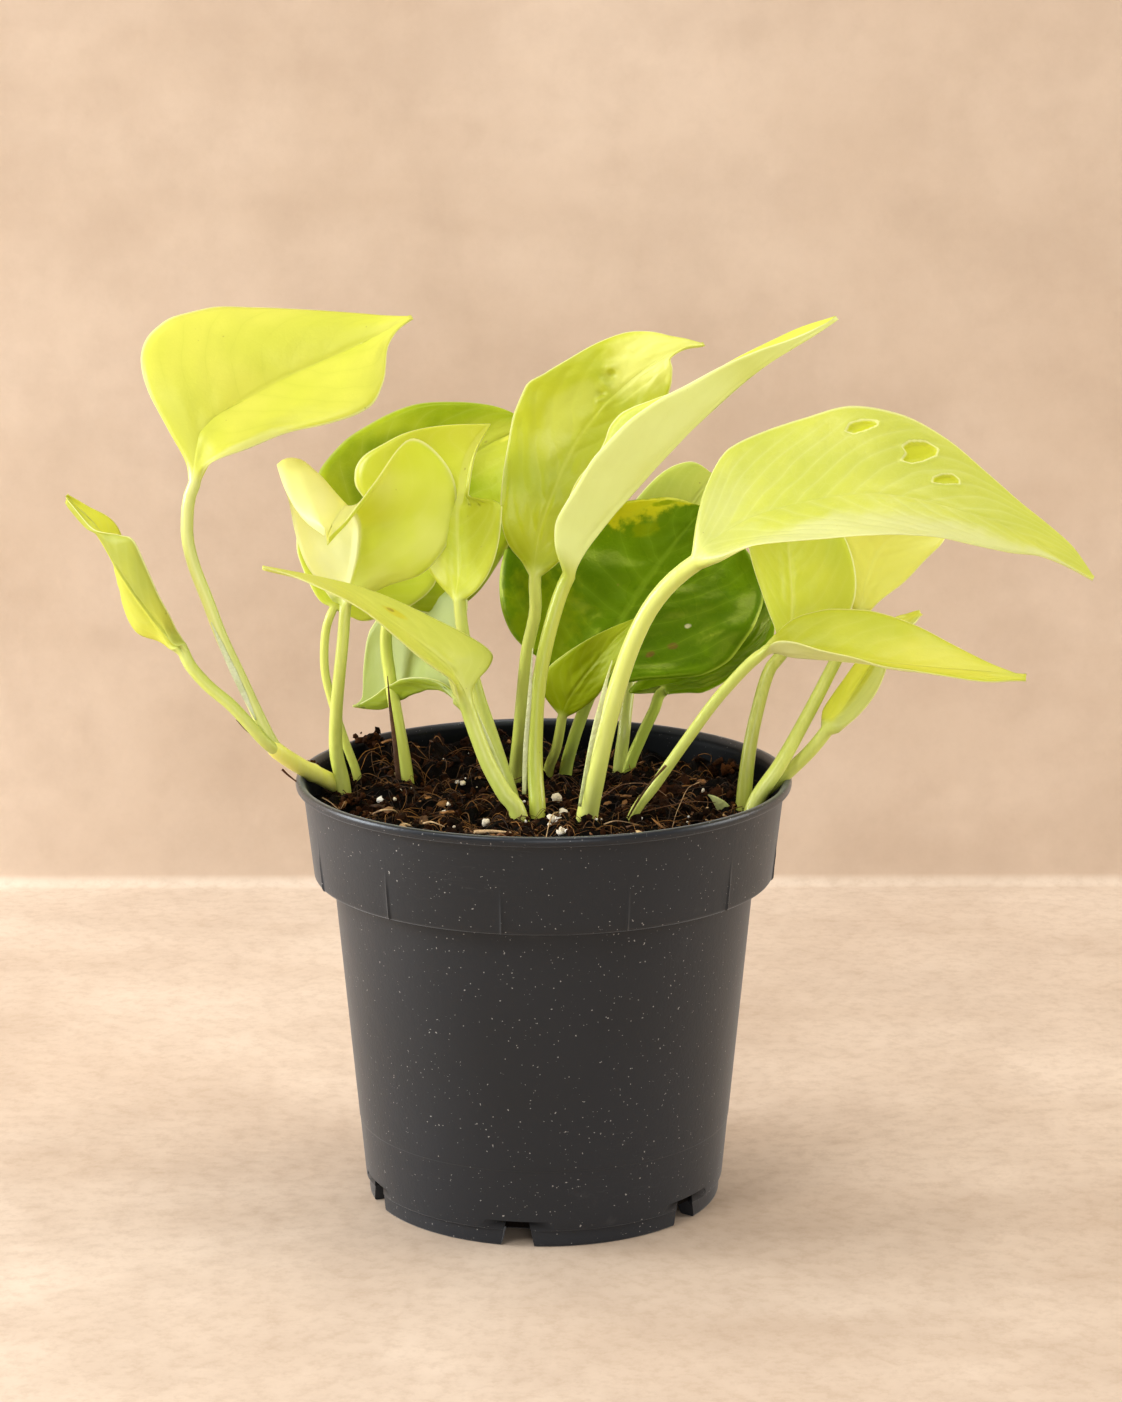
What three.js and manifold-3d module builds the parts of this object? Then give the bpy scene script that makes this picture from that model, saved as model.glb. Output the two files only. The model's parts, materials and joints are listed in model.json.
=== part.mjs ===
// Potted scindapsus: nineteen lime and green leaves on their own stalks, one side stem,
// lumpy potting soil and a round plastic nursery pot. Millimetres, +Z up, +Y away from the
// viewer, the pot's foot on z = 0 and its axis on the origin.
import * as THREE from "three";
import { mergeVertices } from "three/addons/utils/BufferGeometryUtils.js";
import Module from "manifold-3d";

const wasm = await Module();
wasm.setup();

// Pot
const POT_HEIGHT = 104.6;
const POT_SIDES = 60;
const LIP_RADIUS = 60;
const COLLAR_TOP_RADIUS = 58.1;
const COLLAR_FOOT_RADIUS = 55.65;
const COLLAR_FOOT_Z = 80.4;
const BODY_TOP_RADIUS = 51.05;
const BODY_FOOT_RADIUS = 44;
const FOOT_RADIUS = 43.2;
const FOOT_RING_INSIDE = 39.4;
const FOOT_HEIGHT = 4;
const SEAM_Z = 19.7;
const WALL = 1.3;
const PAD_RADIUS = 13;
const CHANNEL_DEPTH = 2.4;
const INNER_FLOOR_Z = 4.2;

// Drain slots, evenly round the foot
const SLOT_COUNT = 6;
const SLOT_FIRST_ANGLE = THREE.MathUtils.degToRad(-98.5);
const SLOT_TOP_WIDTH = 5.5;
const SLOT_FOOT_WIDTH = 8.5;
const SLOT_TOP_Z = 6.4;
const SLOT_INSIDE_RADIUS = 37.5;
const STEP_TOP_WIDTH = 15;
const STEP_FOOT_WIDTH = 19;
const STEP_TOP_Z = 6;
const STEP_INSIDE_RADIUS = 43.5;
const OUTSIDE = 50;

// Soil
const GAP = 0.3;
const SOIL_Z = 98.6;
const SOIL_RINGS = [53, 45, 36, 27, 18, 9];
const SOIL_SLOPE = 0.028;

// Leaves
const COLUMNS = 7;
const HALF_THICKNESS = 0.4;
const TIP_HALF_WIDTH = 0.5;
const TIP_CORE = 0.4;
const BASE_BLEND = 0.15;
const MITRE_LIMIT = 1.6;
const TEAR_LENGTH = 0.05;
const DRIP_TIP = 0.07;
const DRIP_TIP_WIDTH = 0.08;
const ROOT_DEPTH = 13;
const ROOT_SPREAD = 0.3;
const HOLE_PLAY = 0.35;
const STALK_SHARES = [0, 0.2, 0.4, 0.6, 0.8];
const ROOM_SHARES = [0, 0.2, 0.4, 0.6];
const BLADE_SHARES = [0, 0.03, 0.08, 0.16, 0.27, 0.4, 0.54, 0.68, 0.81, 0.92, 1];

const vector = ([x, y, z]) => new THREE.Vector3(x, y, z);
const smooth = (x) => THREE.MathUtils.smoothstep(x, 0, 1);
const blend = THREE.MathUtils.lerp;

function solid(geometry) {
  const plain = geometry.clone();
  plain.deleteAttribute("normal");
  plain.deleteAttribute("uv");
  const merged = mergeVertices(plain);
  return new wasm.Manifold(
    new wasm.Mesh({
      numProp: 3,
      vertProperties: merged.attributes.position.array,
      triVerts: new Uint32Array(merged.index.array),
    }),
  );
}

function geometry(body) {
  const mesh = body.getMesh();
  const made = new THREE.BufferGeometry();
  made.setAttribute("position", new THREE.BufferAttribute(mesh.vertProperties, 3));
  made.setIndex(new THREE.BufferAttribute(mesh.triVerts, 1));
  return made;
}

function turned(profile, sides) {
  const points = profile.map(([radius, z]) => new THREE.Vector2(radius, z));
  const round = new THREE.LatheGeometry(points, sides);
  round.deleteAttribute("normal");
  round.deleteAttribute("uv");
  round.rotateX(Math.PI / 2);
  return mergeVertices(round);
}

// A bar with a trapezoid section that runs outwards from a radius, as a cutter
function wedge(topWidth, footWidth, topZ, footZ, radius, angle) {
  const section = new THREE.Shape([
    new THREE.Vector2(-footWidth / 2, footZ),
    new THREE.Vector2(footWidth / 2, footZ),
    new THREE.Vector2(topWidth / 2, topZ),
    new THREE.Vector2(-topWidth / 2, topZ),
  ]);
  const bar = new THREE.ExtrudeGeometry(section, {
    depth: OUTSIDE - radius,
    bevelEnabled: false,
  });
  bar.rotateX(Math.PI / 2);
  bar.rotateZ(Math.PI);
  bar.translate(0, radius, 0);
  bar.rotateZ(angle - Math.PI / 2);
  return solid(bar);
}

function makePot() {
  const lipFoot = POT_HEIGHT - 2.1;
  const shell = [
    [0, 0],
    [PAD_RADIUS, 0],
    [PAD_RADIUS + 1, CHANNEL_DEPTH],
    [FOOT_RING_INSIDE - 0.8, CHANNEL_DEPTH],
    [FOOT_RING_INSIDE, 0],
    [FOOT_RADIUS, 0],
    [FOOT_RADIUS, FOOT_HEIGHT],
    [BODY_FOOT_RADIUS, FOOT_HEIGHT + 0.3],
    [BODY_FOOT_RADIUS + 1.35, SEAM_Z - 0.2],
    [BODY_FOOT_RADIUS + 1.5, SEAM_Z],
    [BODY_TOP_RADIUS, COLLAR_FOOT_Z - 0.4],
    [COLLAR_FOOT_RADIUS, COLLAR_FOOT_Z],
    [COLLAR_TOP_RADIUS, lipFoot - 0.4],
    [LIP_RADIUS - 0.3, lipFoot],
    [LIP_RADIUS, POT_HEIGHT - 1],
    [LIP_RADIUS - 0.4, POT_HEIGHT],
    [LIP_RADIUS - 1.6, POT_HEIGHT],
    [COLLAR_TOP_RADIUS - WALL, lipFoot],
    [COLLAR_FOOT_RADIUS - WALL, COLLAR_FOOT_Z + WALL],
    [BODY_TOP_RADIUS - WALL, COLLAR_FOOT_Z + WALL - 0.4],
    [BODY_FOOT_RADIUS - WALL, INNER_FLOOR_Z],
    [0, INNER_FLOOR_Z],
  ];
  let pot = solid(turned(shell, POT_SIDES));
  for (let i = 0; i < SLOT_COUNT; i++) {
    const angle = SLOT_FIRST_ANGLE + (i * 2 * Math.PI) / SLOT_COUNT;
    const slot = wedge(
      SLOT_TOP_WIDTH,
      SLOT_FOOT_WIDTH,
      SLOT_TOP_Z,
      -1,
      SLOT_INSIDE_RADIUS,
      angle,
    );
    const step = wedge(
      STEP_TOP_WIDTH,
      STEP_FOOT_WIDTH,
      STEP_TOP_Z,
      FOOT_HEIGHT - 0.2,
      STEP_INSIDE_RADIUS,
      angle,
    );
    pot = pot.subtract(slot).subtract(step);
  }
  return pot;
}

// Height of the soil's lumps over its mean level
function lumps(x, y) {
  const broad = 1.1 * Math.sin(x / 6.1 + 0.6) * Math.cos(y / 5.2 - 0.4);
  const small = 0.7 * Math.sin((x + y) / 3.9 + 1.7) * Math.sin((x - y) / 4.6);
  return broad + small - SOIL_SLOPE * y;
}

function makeSoil() {
  const collarInside = COLLAR_TOP_RADIUS - WALL - GAP;
  const drop = (POT_HEIGHT - 2.1 - SOIL_Z) / (POT_HEIGHT - 2.1 - COLLAR_FOOT_Z - WALL);
  const edge = blend(collarInside, COLLAR_FOOT_RADIUS - WALL - GAP, drop);
  const profile = [
    [0, INNER_FLOOR_Z + GAP],
    [BODY_FOOT_RADIUS - WALL - GAP, INNER_FLOOR_Z + GAP],
    [BODY_TOP_RADIUS - WALL - GAP, COLLAR_FOOT_Z + WALL],
    [COLLAR_FOOT_RADIUS - WALL - GAP - 0.1, COLLAR_FOOT_Z + WALL + 0.4],
    [edge - 0.5, SOIL_Z],
    ...SOIL_RINGS.map((radius) => [radius, SOIL_Z]),
    [0, SOIL_Z],
  ];
  const heap = turned(profile, POT_SIDES);
  const at = heap.attributes.position;
  for (let i = 0; i < at.count; i++) {
    if (at.getZ(i) > SOIL_Z - 0.5) {
      at.setZ(i, SOIL_Z + lumps(at.getX(i), at.getY(i)));
    }
  }
  return solid(heap);
}

// Curve parameters at the given shares of the length between two parameters
function spaced(curve, from, to, shares) {
  const steps = 120;
  const parameters = [from];
  const lengths = [0];
  let last = curve.getPoint(from);
  for (let i = 1; i <= steps; i++) {
    const parameter = blend(from, to, i / steps);
    const point = curve.getPoint(parameter);
    parameters.push(parameter);
    lengths.push(lengths[i - 1] + point.distanceTo(last));
    last = point;
  }
  return shares.map((share) => {
    const wanted = share * lengths[steps];
    let i = 1;
    while (i < steps && lengths[i] < wanted) {
      i++;
    }
    const part = (wanted - lengths[i - 1]) / (lengths[i] - lengths[i - 1]);
    return blend(parameters[i - 1], parameters[i], part);
  });
}

// A closed skin through rings of equal count; each ring lists its upper points from left to
// right and then its lower points back, so both faces are cut along the same diagonals
function skin(rings) {
  const count = rings[0].length;
  const columns = count / 2;
  const faces = [];
  for (let j = 0; j + 1 < rings.length; j++) {
    for (let k = 0; k < count; k++) {
      const a = j * count + k;
      const b = j * count + ((k + 1) % count);
      const c = a + count;
      const d = b + count;
      if (k < columns) {
        faces.push(a, b, d, a, d, c);
      } else {
        faces.push(a, b, c, b, d, c);
      }
    }
  }
  const end = (rings.length - 1) * count;
  for (let k = 0; k + 1 < columns; k++) {
    const below = count - 1 - k;
    faces.push(k, below, k + 1, k + 1, below, below - 1);
    faces.push(end + k, end + k + 1, end + below);
    faces.push(end + k + 1, end + below - 1, end + below);
  }
  const made = new THREE.BufferGeometry();
  made.setFromPoints(rings.flat());
  made.setIndex(faces);
  return made;
}

const level = (k) => -Math.cos((Math.PI * (k + 0.5)) / COLUMNS);

function roundRing(centre, across, up, radius) {
  const ring = [];
  for (const side of [1, -1]) {
    for (let i = 0; i < COLUMNS; i++) {
      const v = level(side > 0 ? i : COLUMNS - 1 - i);
      const point = centre.clone().addScaledVector(across, v * radius);
      ring.push(point.addScaledVector(up, side * radius * Math.sqrt(1 - v * v)));
    }
  }
  return ring;
}

// Frames carried back down a stalk from the given side direction at its top
function carried(curve, parameters, across) {
  const frames = [];
  let side = across;
  for (const parameter of [...parameters].reverse()) {
    const along = curve.getTangent(parameter);
    side = side.clone().addScaledVector(along, -side.dot(along)).normalize();
    const up = new THREE.Vector3().crossVectors(side, along);
    frames.unshift({ centre: curve.getPoint(parameter), side, up });
  }
  return frames;
}

// Share of a half blade's full width at a share of its length
function outline(leaf, u) {
  const low = Math.min(u / leaf.widest, 1);
  const rising = Math.pow(1 - (1 - low) * (1 - low), leaf.shoulder);
  const high = THREE.MathUtils.clamp((u - leaf.widest) / (1 - DRIP_TIP - leaf.widest), 0, 1);
  const falling = Math.pow(Math.cos((Math.PI / 2) * high), leaf.taper);
  const tail = DRIP_TIP_WIDTH * Math.min((1 - u) / (2 * DRIP_TIP), 1);
  return u < leaf.widest ? rising : Math.max(falling, tail);
}

function curveOf(leaf) {
  const foot = vector(leaf.stalk[0]);
  const next = vector(leaf.stalk[1]);
  const down = foot.clone().sub(next);
  down.x *= ROOT_SPREAD;
  down.y *= ROOT_SPREAD;
  const buried = down.setLength(leaf.depth ?? ROOT_DEPTH).add(foot);
  const points = [buried, ...leaf.stalk.map(vector), ...leaf.rib.map(vector)];
  const curve = new THREE.CatmullRomCurve3(points, false, "catmullrom", 0.5);
  const neck = (leaf.stalk.length + 1) / (points.length - 1);
  return { curve, neck };
}

const reach = (pair, u) => vector(pair[0]).lerp(vector(pair[1]), u);

const stalkRadius = (leaf, share) =>
  leaf.thin + (leaf.thick - leaf.thin) * (1 - share) * (1 - share);

// The side direction and upper side of the blade at a share of its length
function bladeFrame(leaf, u, along) {
  const across = reach(leaf.right, u).sub(reach(leaf.left, u));
  const side = across.addScaledVector(along, -across.dot(along)).normalize();
  const up = new THREE.Vector3().crossVectors(side, along);
  return { side, up };
}

function bladeRing(leaf, u, centre, along) {
  const { side, up } = bladeFrame(leaf, u, along);
  const open = smooth(u / BASE_BLEND);
  const closing = smooth((u - 1 + BASE_BLEND) / BASE_BLEND);
  const core = leaf.thin * Math.pow(1 - u, 3) + TIP_CORE * closing;
  const midrib = blend(leaf.thin, HALF_THICKNESS, Math.sqrt(u));
  const above = [];
  const below = [];
  for (let k = 0; k < COLUMNS; k++) {
    const v = blend(level(k), -1 + (2 * k) / (COLUMNS - 1), open);
    const left = v < 0;
    const arm = reach(left ? leaf.left : leaf.right, u);
    const normal = new THREE.Vector3().crossVectors(left ? along : arm, left ? arm : along);
    normal.normalize();
    let width = outline(leaf, u);
    if (leaf.torn && left === (leaf.torn.side === "left")) {
      width *= 1 - (1 - leaf.torn.kept) * smooth((u - leaf.torn.from) / TEAR_LENGTH);
    }
    width = Math.max(width, (open * TIP_HALF_WIDTH) / arm.length());
    const share = Math.abs(v);
    const swing = open * (1 - closing) * smooth(share * 3);
    const face = up.clone().lerp(normal, swing).normalize();
    const mitre = Math.min(1 / Math.max(up.dot(normal), 0.5), MITRE_LIMIT);
    const half = HALF_THICKNESS * blend(mitre, 1, Math.min(share * 3, 1));
    const spread = arm.length() * width + core;
    const ridge = 1 - Math.pow((share * spread) / (1.2 * midrib), 2);
    const round = leaf.thin * Math.sqrt(Math.max(1 - v * v, 0));
    const under = half + (midrib - HALF_THICKNESS) * Math.max(ridge, 0);
    const point = centre.clone();
    point.addScaledVector(arm, width * share);
    point.addScaledVector(side, core * v);
    const bow = left ? leaf.bow[0] : leaf.bow[1];
    point.addScaledVector(up, bow * width * 4 * share * (1 - share));
    above.push(point.clone().addScaledVector(face, blend(round, half, open)));
    below.unshift(point.addScaledVector(face, -blend(round, under, open)));
  }
  return [...above, ...below];
}

function makeLeaf(leaf) {
  const { curve, neck } = curveOf(leaf);
  const stalk = spaced(curve, 0, neck, STALK_SHARES);
  const blade = spaced(curve, neck, 1, BLADE_SHARES);
  const top = bladeFrame(leaf, 0, curve.getTangent(neck));
  const frames = carried(curve, stalk, top.side);
  const rings = frames.map(({ centre, side, up }, i) =>
    roundRing(centre, side, up, stalkRadius(leaf, STALK_SHARES[i])),
  );
  blade.forEach((parameter, i) => {
    const centre = curve.getPoint(parameter);
    rings.push(bladeRing(leaf, BLADE_SHARES[i], centre, curve.getTangent(parameter)));
  });
  return solid(skin(rings));
}

// A round bar along part of a curve; its start reaches back by the given lead
function tube(curve, to, shares, radius, lead) {
  const parameters = spaced(curve, 0, to, shares);
  const frames = carried(curve, parameters, new THREE.Vector3(1, 0.3, 0));
  frames[0].centre.addScaledVector(curve.getTangent(0), -lead);
  const rings = frames.map(({ centre, side, up }, i) =>
    roundRing(centre, side, up, radius(shares[i])),
  );
  return solid(skin(rings));
}

// The room a stalk's lower end takes in what it stands in, with play all round
function stalkRoom(leaf) {
  const { curve, neck } = curveOf(leaf);
  return tube(curve, neck, ROOM_SHARES, () => leaf.thick + HOLE_PLAY, HOLE_PLAY);
}

function makeStem(play) {
  const curve = new THREE.CatmullRomCurve3(STEM_POINTS.map(vector), false, "catmullrom", 0.5);
  const radius = (share) => blend(STEM_THICK, STEM_THIN, share) + play;
  return tube(curve, 1, STEM_SHARES, radius, play);
}

function largest(body) {
  const pieces = body.decompose();
  return pieces.reduce((best, piece) => (piece.volume() > best.volume() ? piece : best));
}

const material = (colour, roughness) =>
  new THREE.MeshStandardMaterial({ color: colour, roughness, metalness: 0 });

const plant = new THREE.Group();
function add(name, body, colour, roughness) {
  const mesh = new THREE.Mesh(geometry(body), material(colour, roughness));
  mesh.name = name;
  plant.add(mesh);
}

// The low side stem that leans over the rim on the left
const STEM_POINTS = [
  [-50, 0, 88],
  [-52, 0.5, 100.5],
  [-55, -8, 106],
  [-59.3, -12, 109.6],
  [-63, -12, 112],
  [-67, -11, 116],
];
const STEM_THICK = 2.6;
const STEM_THIN = 2.2;
const STEM_SHARES = [0, 0.15, 0.3, 0.42, 0.52, 0.62, 0.74, 0.87, 1];
const FORK_DEPTH = 1.5;

const LEAVES = [
  {
    // the yellowest and highest leaf at the left, on the side stem
    name: "leaf_01",
    colour: 0xdcdd55,
    stalk: [[-67.5, -11, 117], [-71.5, -10, 128], [-78, -9, 143], [-83, -8, 157], [-84, -8, 167]],
    rib: [[-82, -8, 177], [-73, -5, 187], [-58, 2, 199], [-43, 5, 209], [-31, 2, 215]],
    left: [[-43, 20, 26], [-2, 14, 5]],
    right: [[-5, -13, 3], [13, -21, -20]],
    widest: 0.5,
    shoulder: 1.15,
    taper: 0.5,
    thick: 1.9,
    thin: 1.5,
    bow: [2, 3],
    depth: 0.3,
  },
  {
    // the small furled leaf at the far left, on the side stem
    name: "leaf_02",
    colour: 0xcccb5a,
    stalk: [[-66.5, -13, 114.5], [-73, -13, 122.5], [-80, -12, 129.5]],
    rib: [[-87, -9, 137], [-96, -8, 149], [-102, -6, 160], [-113, -4, 173]],
    left: [[3, -5, 1], [4, -9, 11]],
    right: [[-11, 7, -5], [7, 22, 11]],
    widest: 0.35,
    shoulder: 0.7,
    taper: 0.9,
    thick: 1.7,
    thin: 1.4,
    bow: [-3, -2],
    depth: FORK_DEPTH,
  },
  {
    // arches over towards the viewer, its underside pale at the base
    name: "leaf_03",
    colour: 0xd8d765,
    stalk: [[-48, 6, 100], [-51, 0, 114], [-50, -2, 126], [-48, -2, 137]],
    rib: [[-47, 0, 149], [-47, 4, 160], [-48, -2, 171], [-50, -12, 171], [-50, -18, 164]],
    left: [[36, -8, -3], [8, 11, 23]],
    right: [[-8, -5, -15], [-20, 6, 22]],
    widest: 0.45,
    shoulder: 0.8,
    taper: 0.8,
    thick: 2.6,
    thin: 1.5,
    bow: [2, 3],
  },
  {
    // behind the left group, its upper side to the viewer
    name: "leaf_04",
    colour: 0xb9bf46,
    stalk: [[-46, 15, 100], [-48, 12, 111], [-52, 12, 119], [-53, 12, 127], [-53, 12, 135]],
    rib: [[-51, 12, 143], [-47, 16, 149], [-39, 20, 157], [-29, 20, 167]],
    left: [[-12, -2, -2], [-22, 5, 29]],
    right: [[2, -1, -10], [29, -15, -17]],
    widest: 0.4,
    shoulder: 0.75,
    taper: 1.15,
    thick: 1.7,
    thin: 1.4,
    bow: [0, 0],
  },
  {
    // the right half of this blade is torn away above its middle
    name: "leaf_05",
    colour: 0xe0dc62,
    stalk: [[-6, -12.5, 100], [-9, -10, 108], [-13, -8, 119], [-17, -6, 128], [-19, -4, 139]],
    rib: [[-20, -4, 148], [-20, 0, 158], [-19, 5, 171], [-17, 7, 181], [-13, 5, 189]],
    left: [[-6, 11, 1], [-39, 13, 3]],
    right: [[8, -6, -9], [11, -7, 11]],
    widest: 0.5,
    shoulder: 1.1,
    taper: 0.6,
    thick: 1.9,
    thin: 1.5,
    bow: [0, 0],
    torn: { side: "right", from: 0.52, kept: 0.1 },
  },
  {
    // nearly level, its tip to the left and towards the viewer
    name: "leaf_06",
    colour: 0xc4c45c,
    stalk: [[-5.5, -19.5, 100], [-10, -17, 104], [-14, -16, 114], [-17, -16, 123]],
    rib: [[-19, -16, 130], [-26, -20, 138], [-39, -26, 150], [-52, -30, 158], [-64, -34, 162]],
    left: [[3, -1, -2], [-4, -24, 3]],
    right: [[21, 14, -1], [-15, 8, 4]],
    widest: 0.3,
    shoulder: 0.7,
    taper: 1.1,
    thick: 2.4,
    thin: 1.8,
    bow: [0, 0],
  },
  {
    // seen from below, its near margin curled up
    name: "leaf_07",
    colour: 0xb9c06e,
    stalk: [[-11, 10, 99], [-14, 6, 109], [-17, 4, 117]],
    rib: [[-21, 4, 122], [-26, 6, 124], [-34, 10, 119], [-39, 12, 117], [-46, 12, 118]],
    left: [[19, 15, 18], [-10, 13, 25]],
    right: [[6, -12, 2], [-9, -7, 13]],
    widest: 0.5,
    shoulder: 0.7,
    taper: 0.6,
    thick: 1.6,
    thin: 1.3,
    bow: [0, 0],
  },
  {
    // the mid-green leaf behind the left group
    name: "leaf_08",
    colour: 0x97a832,
    stalk: [[-34, 20, 99], [-36, 21, 112], [-38, 25, 123], [-39, 27, 133]],
    rib: [[-37, 28, 142], [-33, 30, 153], [-27, 37, 165], [-17, 41, 176], [-3, 40, 184]],
    left: [[-35, 5, 4], [-11, 8, 19]],
    right: [[17, 1, -17], [17, -25, -4]],
    widest: 0.45,
    shoulder: 0.7,
    taper: 0.8,
    thick: 1.9,
    thin: 1.5,
    bow: [0, 0],
  },
  {
    // the tall upright leaf in the middle
    name: "leaf_09",
    colour: 0xd9da5e,
    stalk: [[-7, 21, 99], [-6, 14, 111], [-5, 12, 123], [-4, 10, 133], [-2, 8, 143]],
    rib: [[-2, 7, 152], [0, 9, 165], [8, 13, 183], [20, 12, 196], [38, 4, 207]],
    left: [[-15, 3, -4], [-13, 13, 22]],
    right: [[10, -4, -11], [14, -12, 4]],
    widest: 0.45,
    shoulder: 0.9,
    taper: 0.7,
    thick: 1.9,
    thin: 1.5,
    bow: [0, 0],
  },
  {
    // folded along its midrib, the long tip up to the right
    name: "leaf_10",
    colour: 0xd6d76c,
    stalk: [[-1.5, -15, 100], [-2, -12.5, 107], [-2, -11, 117], [-1, -10, 130], [2, -9, 144]],
    rib: [[6, -8, 155], [13, -10, 165], [28, -14, 182], [47, -20, 203], [67, -24, 218]],
    left: [[-4, 4, 14], [-27, 19, -1]],
    right: [[-11, -1, 10], [-7, -8, 9]],
    widest: 0.3,
    shoulder: 0.6,
    taper: 1,
    thick: 2,
    thin: 1.7,
    bow: [0, 0],
  },
  {
    // the widest leaf, arched out to the right
    name: "leaf_11",
    colour: 0xd6d86e,
    stalk: [[10, -25, 99], [12, -29, 111], [15, -30, 125], [20, -31, 142], [26, -32, 154]],
    rib: [[35, -34, 163], [50, -38, 172], [76, -44, 178], [102, -50, 174], [123, -54, 163]],
    left: [[-13, 14, 23], [8, 16, 16]],
    right: [[5, -11, 1], [-9, -15, -10]],
    widest: 0.38,
    shoulder: 0.85,
    taper: 0.9,
    thick: 2.8,
    thin: 2,
    bow: [0, 0],
  },
  {
    // the large dark green leaf at the back
    name: "leaf_12",
    colour: 0x4f6713,
    stalk: [[6, 23, 99], [8, 17, 108], [10, 15, 115]],
    rib: [[12, 13, 123], [15, 16, 132], [24, 23, 145], [32, 29, 155], [40, 34, 164]],
    left: [[-33, 0, 2], [-26, 12, 21]],
    right: [[23, -6, -7], [34, 1, -2]],
    widest: 0.45,
    shoulder: 0.6,
    taper: 0.6,
    thick: 1.7,
    thin: 1.5,
    bow: [0, 0],
  },
  {
    // a smaller dark leaf beside the large one
    name: "leaf_13",
    colour: 0x4c6212,
    stalk: [[23, 25, 99], [24, 24, 107], [28, 26, 113]],
    rib: [[30, 28, 119], [40, 26, 124], [51, 24, 131], [58, 22, 142]],
    left: [[-10, 10, 7], [11, 5, 24]],
    right: [[-4, -8, -1], [5, -8, -8]],
    widest: 0.4,
    shoulder: 0.7,
    taper: 0.8,
    thick: 1.7,
    thin: 1.4,
    bow: [0, 0],
  },
  {
    // rises behind the large dark leaf
    name: "leaf_14",
    colour: 0xb4c04c,
    stalk: [[19, 29, 99], [20, 28, 108], [21, 32, 116]],
    rib: [[23, 38, 127], [28, 43, 141], [34, 50, 158], [39, 53, 172]],
    left: [[-20, -2, -11], [-8, 6, 20]],
    right: [[14, -3, -9], [12, 3, 18]],
    widest: 0.45,
    shoulder: 0.7,
    taper: 0.65,
    thick: 1.8,
    thin: 1.5,
    bow: [0, 0],
  },
  {
    // the small olive leaf low in the middle
    name: "leaf_15",
    colour: 0x88921e,
    stalk: [[1, 23, 99], [3, 15, 107], [4, 11, 113]],
    rib: [[5, 8, 120], [9, 4, 127], [16, 0, 136], [25, -4, 146]],
    left: [[-11, 3, 2], [-2, 2, 3]],
    right: [[2, 1, -4], [4, -8, -3]],
    widest: 0.35,
    shoulder: 0.7,
    taper: 0.9,
    thick: 1.5,
    thin: 1.2,
    bow: [0, 0],
  },
  {
    // nearly level, low at the right
    name: "leaf_16",
    colour: 0xcfce48,
    stalk: [[21, -23, 100], [28, -23, 109], [34, -23, 119], [43, -23, 130]],
    rib: [[52, -24, 140], [60, -26, 139], [76, -30, 138], [94, -34, 137], [111, -36, 136]],
    left: [[-3, 14, 8], [4, 18, 12]],
    right: [[-2, -9, 6], [-16, -6, -1]],
    widest: 0.35,
    shoulder: 0.7,
    taper: 1,
    thick: 1.8,
    thin: 1.4,
    bow: [0, 0],
  },
  {
    // stands behind the widest leaf at the right
    name: "leaf_17",
    colour: 0xc6cb52,
    stalk: [[45, -7.5, 99], [47, -9.5, 109], [49, -6, 119], [53, -2, 128]],
    rib: [[58, 0, 136], [59, 5, 146], [59, 11, 160], [61, 14, 175]],
    left: [[-3, -2, 1], [-15, 6, 3]],
    right: [[20, -5, -1], [9, 2, 10]],
    widest: 0.45,
    shoulder: 0.7,
    taper: 0.8,
    thick: 2.2,
    thin: 1.5,
    bow: [0, 0],
  },
  {
    // opens towards the right behind the level leaf
    name: "leaf_18",
    colour: 0xdcda58,
    stalk: [[50, -11.5, 100], [56, -8, 112], [63, -4, 121], [70, 0, 133]],
    rib: [[76, 4, 143], [78, 8, 151], [83, 12, 159], [97, 14, 166]],
    left: [[0, -1, 0], [-21, 0, 12]],
    right: [[-3, -6, 3], [19, -2, -4]],
    widest: 0.4,
    shoulder: 0.9,
    taper: 0.9,
    thick: 2.2,
    thin: 1.5,
    bow: [0, 0],
  },
  {
    // the small leaf at the right rim
    name: "leaf_19",
    colour: 0xbcbc5c,
    stalk: [[51, -3, 99], [58, -6, 107.3], [66, -6, 114]],
    rib: [[71, -6, 121], [76, -4, 127], [83, 0, 134], [91, 4, 143]],
    left: [[-6, 0, -1], [-10, 9, -2]],
    right: [[2, -6, 0], [0, -5, -2]],
    widest: 0.3,
    shoulder: 0.7,
    taper: 1,
    thick: 1.9,
    thin: 1.4,
    bow: [0, 0],
  },
];

const LEAF_ROUGHNESS = 0.4;
const STEM_COLOUR = 0xb4ae50;
const SOIL_COLOUR = 0x3d2a18;
const SOIL_ROUGHNESS = 0.95;
const POT_COLOUR = 0x38383a;
const POT_ROUGHNESS = 0.5;

// the first leaves of the list stand on the side stem, the others in the soil
const ON_STEM = 2;
const stemRoom = makeStem(GAP);
let soil = makeSoil().subtract(stemRoom);
LEAVES.forEach((leaf, i) => {
  let body = makeLeaf(leaf);
  if (i < ON_STEM) {
    body = body.subtract(stemRoom);
  } else {
    soil = soil.subtract(stalkRoom(leaf));
  }
  if (leaf.name === "leaf_02") {
    body = largest(body.subtract(stalkRoom(LEAVES[0])));
  }
  add(leaf.name, body, leaf.colour, LEAF_ROUGHNESS);
});
add("stem_left", makeStem(0), STEM_COLOUR, LEAF_ROUGHNESS);
add("soil", largest(soil), SOIL_COLOUR, SOIL_ROUGHNESS);
add("pot", makePot(), POT_COLOUR, POT_ROUGHNESS);

export default plant;
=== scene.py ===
"""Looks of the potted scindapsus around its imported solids: leaves with veins and quilting,
loose potting soil, and a moulded plastic pot. Lengths in the tables are millimetres."""

import json
import math

import bmesh
import bpy
import numpy as np
from mathutils import Matrix, Vector


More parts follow.
